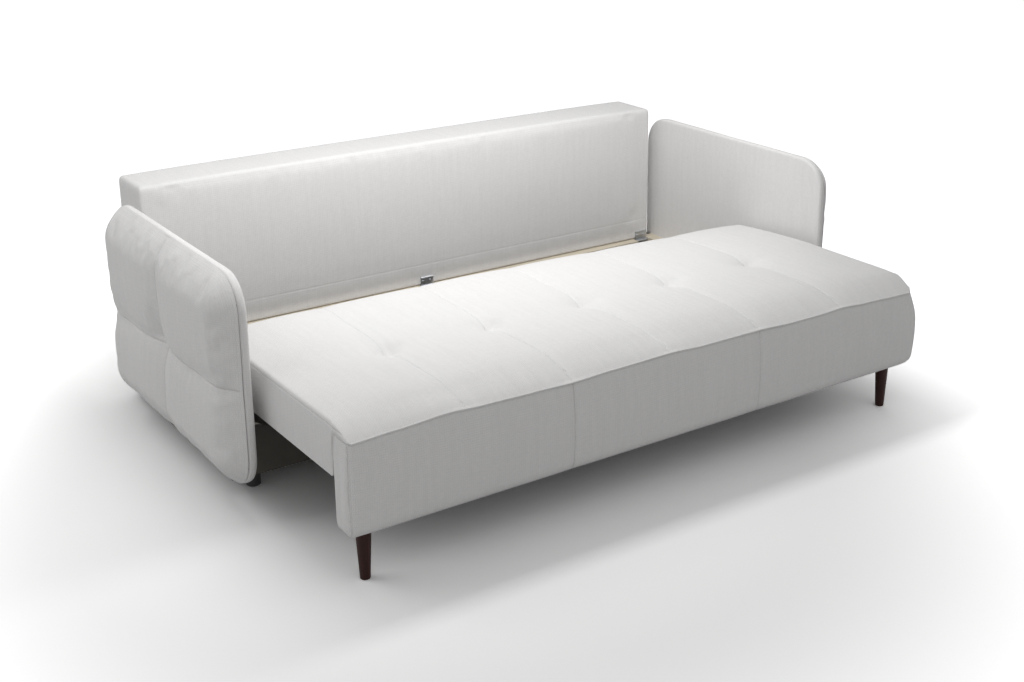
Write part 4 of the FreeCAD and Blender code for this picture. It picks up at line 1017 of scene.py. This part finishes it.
class SOFABED_OT_arms(bpy.types.Operator):
    """Make the arm slabs and the quilted arm pillows"""

    bl_idname = "sofabed.arms"
    bl_label = "Arms"

    def execute(self, context):
        depth = context.scene.sofa_bed_sizes.groove * 1.4
        low, high = PILLOW_BLOCK
        edges = (0.004, 0.013, 0.023, 0.035, 0.048, 0.063, PILLOW_REACH)
        nets = [rims(low.x, high.x, (0.0015, 0.0036),
                     (PILLOW_RISE, 0.041, 0.029, 0.018, 0.009, 0.003))]
        for first, last, cross in zip(low.yz, high.yz, ARM_CROSS):
            nets.append(rims(first, last, edges) | {cross}
                        | spaced(first + PILLOW_REACH, cross, CELL)
                        | spaced(cross, last - PILLOW_REACH, CELL))
        pillow = cut_block("arm_pillow_cover_right", low, high, nets)
        mould(pillow, pillow_form)

        def held(at):
            y, z = from_tuft(at)
            return (at.x < low.x + 0.006 or math.hypot(y, z) < 0.018 or abs(y) < 0.003
                    or abs(z) < 0.008)

        def outer(at, way):
            return at.x > low.x + 0.012

        fill_cover(pillow, held, pressure=3.5, cap=0.005)
        subdivide(pillow)
        press_groove(pillow, 1, ARM_CROSS[:1], outer, depth)
        press_groove(pillow, 2, ARM_CROSS[1:], outer, depth, through=(0, ARM_CROSS[0], 0),
                     normal=Vector((0, -LEVEL_SLOPE, 1)).normalized())

        nets = [rims(ARM_LOW.x, ARM_HIGH.x, (0.002, 0.004, 0.006, 0.012, 0.017),
                     (0.001, 0.0035))]
        for first, last in zip(ARM_LOW.yz, ARM_HIGH.yz):
            nets.append(rims(first, last, (0.003, 0.010))
                        | spaced(first + 0.010, last - 0.010, 0.019))
        slab = cut_block("arm_slab_cover_right", ARM_LOW, ARM_HIGH, nets)
        mould(slab, slab_form)
        subdivide(slab)

        for piece, node, fill in ((pillow, "arm_pillow", 0.8), (slab, "arm_slab", 0.9)):
            other = mirrored(piece, piece.name.replace("right", "left"))
            dress(piece, "box", fill, f"{node}_right")
            dress(other, "box", fill, f"{node}_left")
        return {"FINISHED"}


# Stage

def hang_lamp(name, kind, place, target, strength):
    """A lamp at a place, turned to its target, that the camera doesn't see."""
    bpy.ops.object.light_add(type=kind, location=place)
    lamp = bpy.context.object
    lamp.name = name
    lamp.data.energy = strength
    lamp.visible_camera = False
    way = Vector(target) - Vector(place)
    lamp.rotation_euler = way.to_track_quat("-Z", "Y").to_euler()
    return lamp


class SOFABED_OT_stage(bpy.types.Operator):
    """Make the floor, the lamps and the camera"""

    bl_idname = "sofabed.stage"
    bl_label = "Stage"

    def execute(self, context):
        scene = context.scene
        bpy.ops.object.select_all(action="DESELECT")
        bpy.ops.mesh.primitive_plane_add(size=scene.sofa_bed_sizes.floor, location=(0, 0, 0))
        floor = context.object
        floor.name = "studio_floor"
        studio_floor(scene.sofa_bed_colours.floor)
        floor.data.materials.append(bpy.data.materials["studio_floor"])

        world = scene.world or bpy.data.worlds.new("studio")
        scene.world = world
        world.use_nodes = True
        tree = world.node_tree
        tree.nodes.clear()
        white = (1, 1, 1, 1)
        lit = add_node(tree, "Background", {"Color": white, "Strength": WORLD_LIGHT})
        shown = add_node(tree, "Background", {"Color": white, "Strength": 1.0})
        both = add_node(tree, "MixShader", {0: seen_directly(tree), 1: lit, 2: shown})
        add_node(tree, "OutputWorld", {"Surface": both})

        for name, place, strength in SUNS:
            hang_lamp(name, "SUN", place, (0, 0, 0), strength).data.angle = SUN_ANGLE
        for name, place, target, size, strength in SOFTBOXES:
            lamp = hang_lamp(name, "AREA", place, target, strength)
            lamp.data.shape = "RECTANGLE"
            lamp.data.size, lamp.data.size_y = size

        bpy.ops.object.camera_add(location=CAMERA_PLACE)
        camera = context.object
        camera.name = "photograph_camera"
        level = math.cos(CAMERA_PITCH)
        ahead = Vector((math.sin(CAMERA_YAW) * level, math.cos(CAMERA_YAW) * level,
                        -math.sin(CAMERA_PITCH)))
        camera.rotation_euler = ahead.to_track_quat("-Z", "Y").to_euler()
        for name, value in CAMERA_DATA.items():
            setattr(camera.data, name, value)
        scene.camera = camera
        scene.view_settings.view_transform = "Standard"
        return {"FINISHED"}


# Panel and registering

OPERATORS = (SOFABED_OT_finishes, SOFABED_OT_seat_cushion, SOFABED_OT_apron, SOFABED_OT_back,
             SOFABED_OT_arms, SOFABED_OT_stage)


class SOFABED_PT_panel(bpy.types.Panel):
    """Sizes, colours and pieces of the sofa bed"""

    bl_idname = "SOFABED_PT_panel"
    bl_label = "Sofa bed"
    bl_space_type = "VIEW_3D"
    bl_region_type = "UI"
    bl_category = "Sofa bed"

    def draw(self, context):
        for group in (context.scene.sofa_bed_sizes, context.scene.sofa_bed_colours):
            box = self.layout.box()
            for name in group.bl_rna.properties.keys():
                if name not in ("rna_type", "name"):
                    box.prop(group, name)
        for operator in OPERATORS:
            self.layout.operator(operator.bl_idname)


CLASSES = (SofaBedSizes, SofaBedColours, *OPERATORS, SOFABED_PT_panel)


def register():
    for thing in CLASSES:
        bpy.utils.register_class(thing)
    bpy.types.Scene.sofa_bed_sizes = PointerProperty(type=SofaBedSizes)
    bpy.types.Scene.sofa_bed_colours = PointerProperty(type=SofaBedColours)


def unregister():
    del bpy.types.Scene.sofa_bed_colours
    del bpy.types.Scene.sofa_bed_sizes
    for thing in reversed(CLASSES):
        bpy.utils.unregister_class(thing)


def main():
    register()
    for operator in OPERATORS:
        getattr(bpy.ops.sofabed, operator.bl_idname.split(".")[1])()


if __name__ == "__main__":
    main()
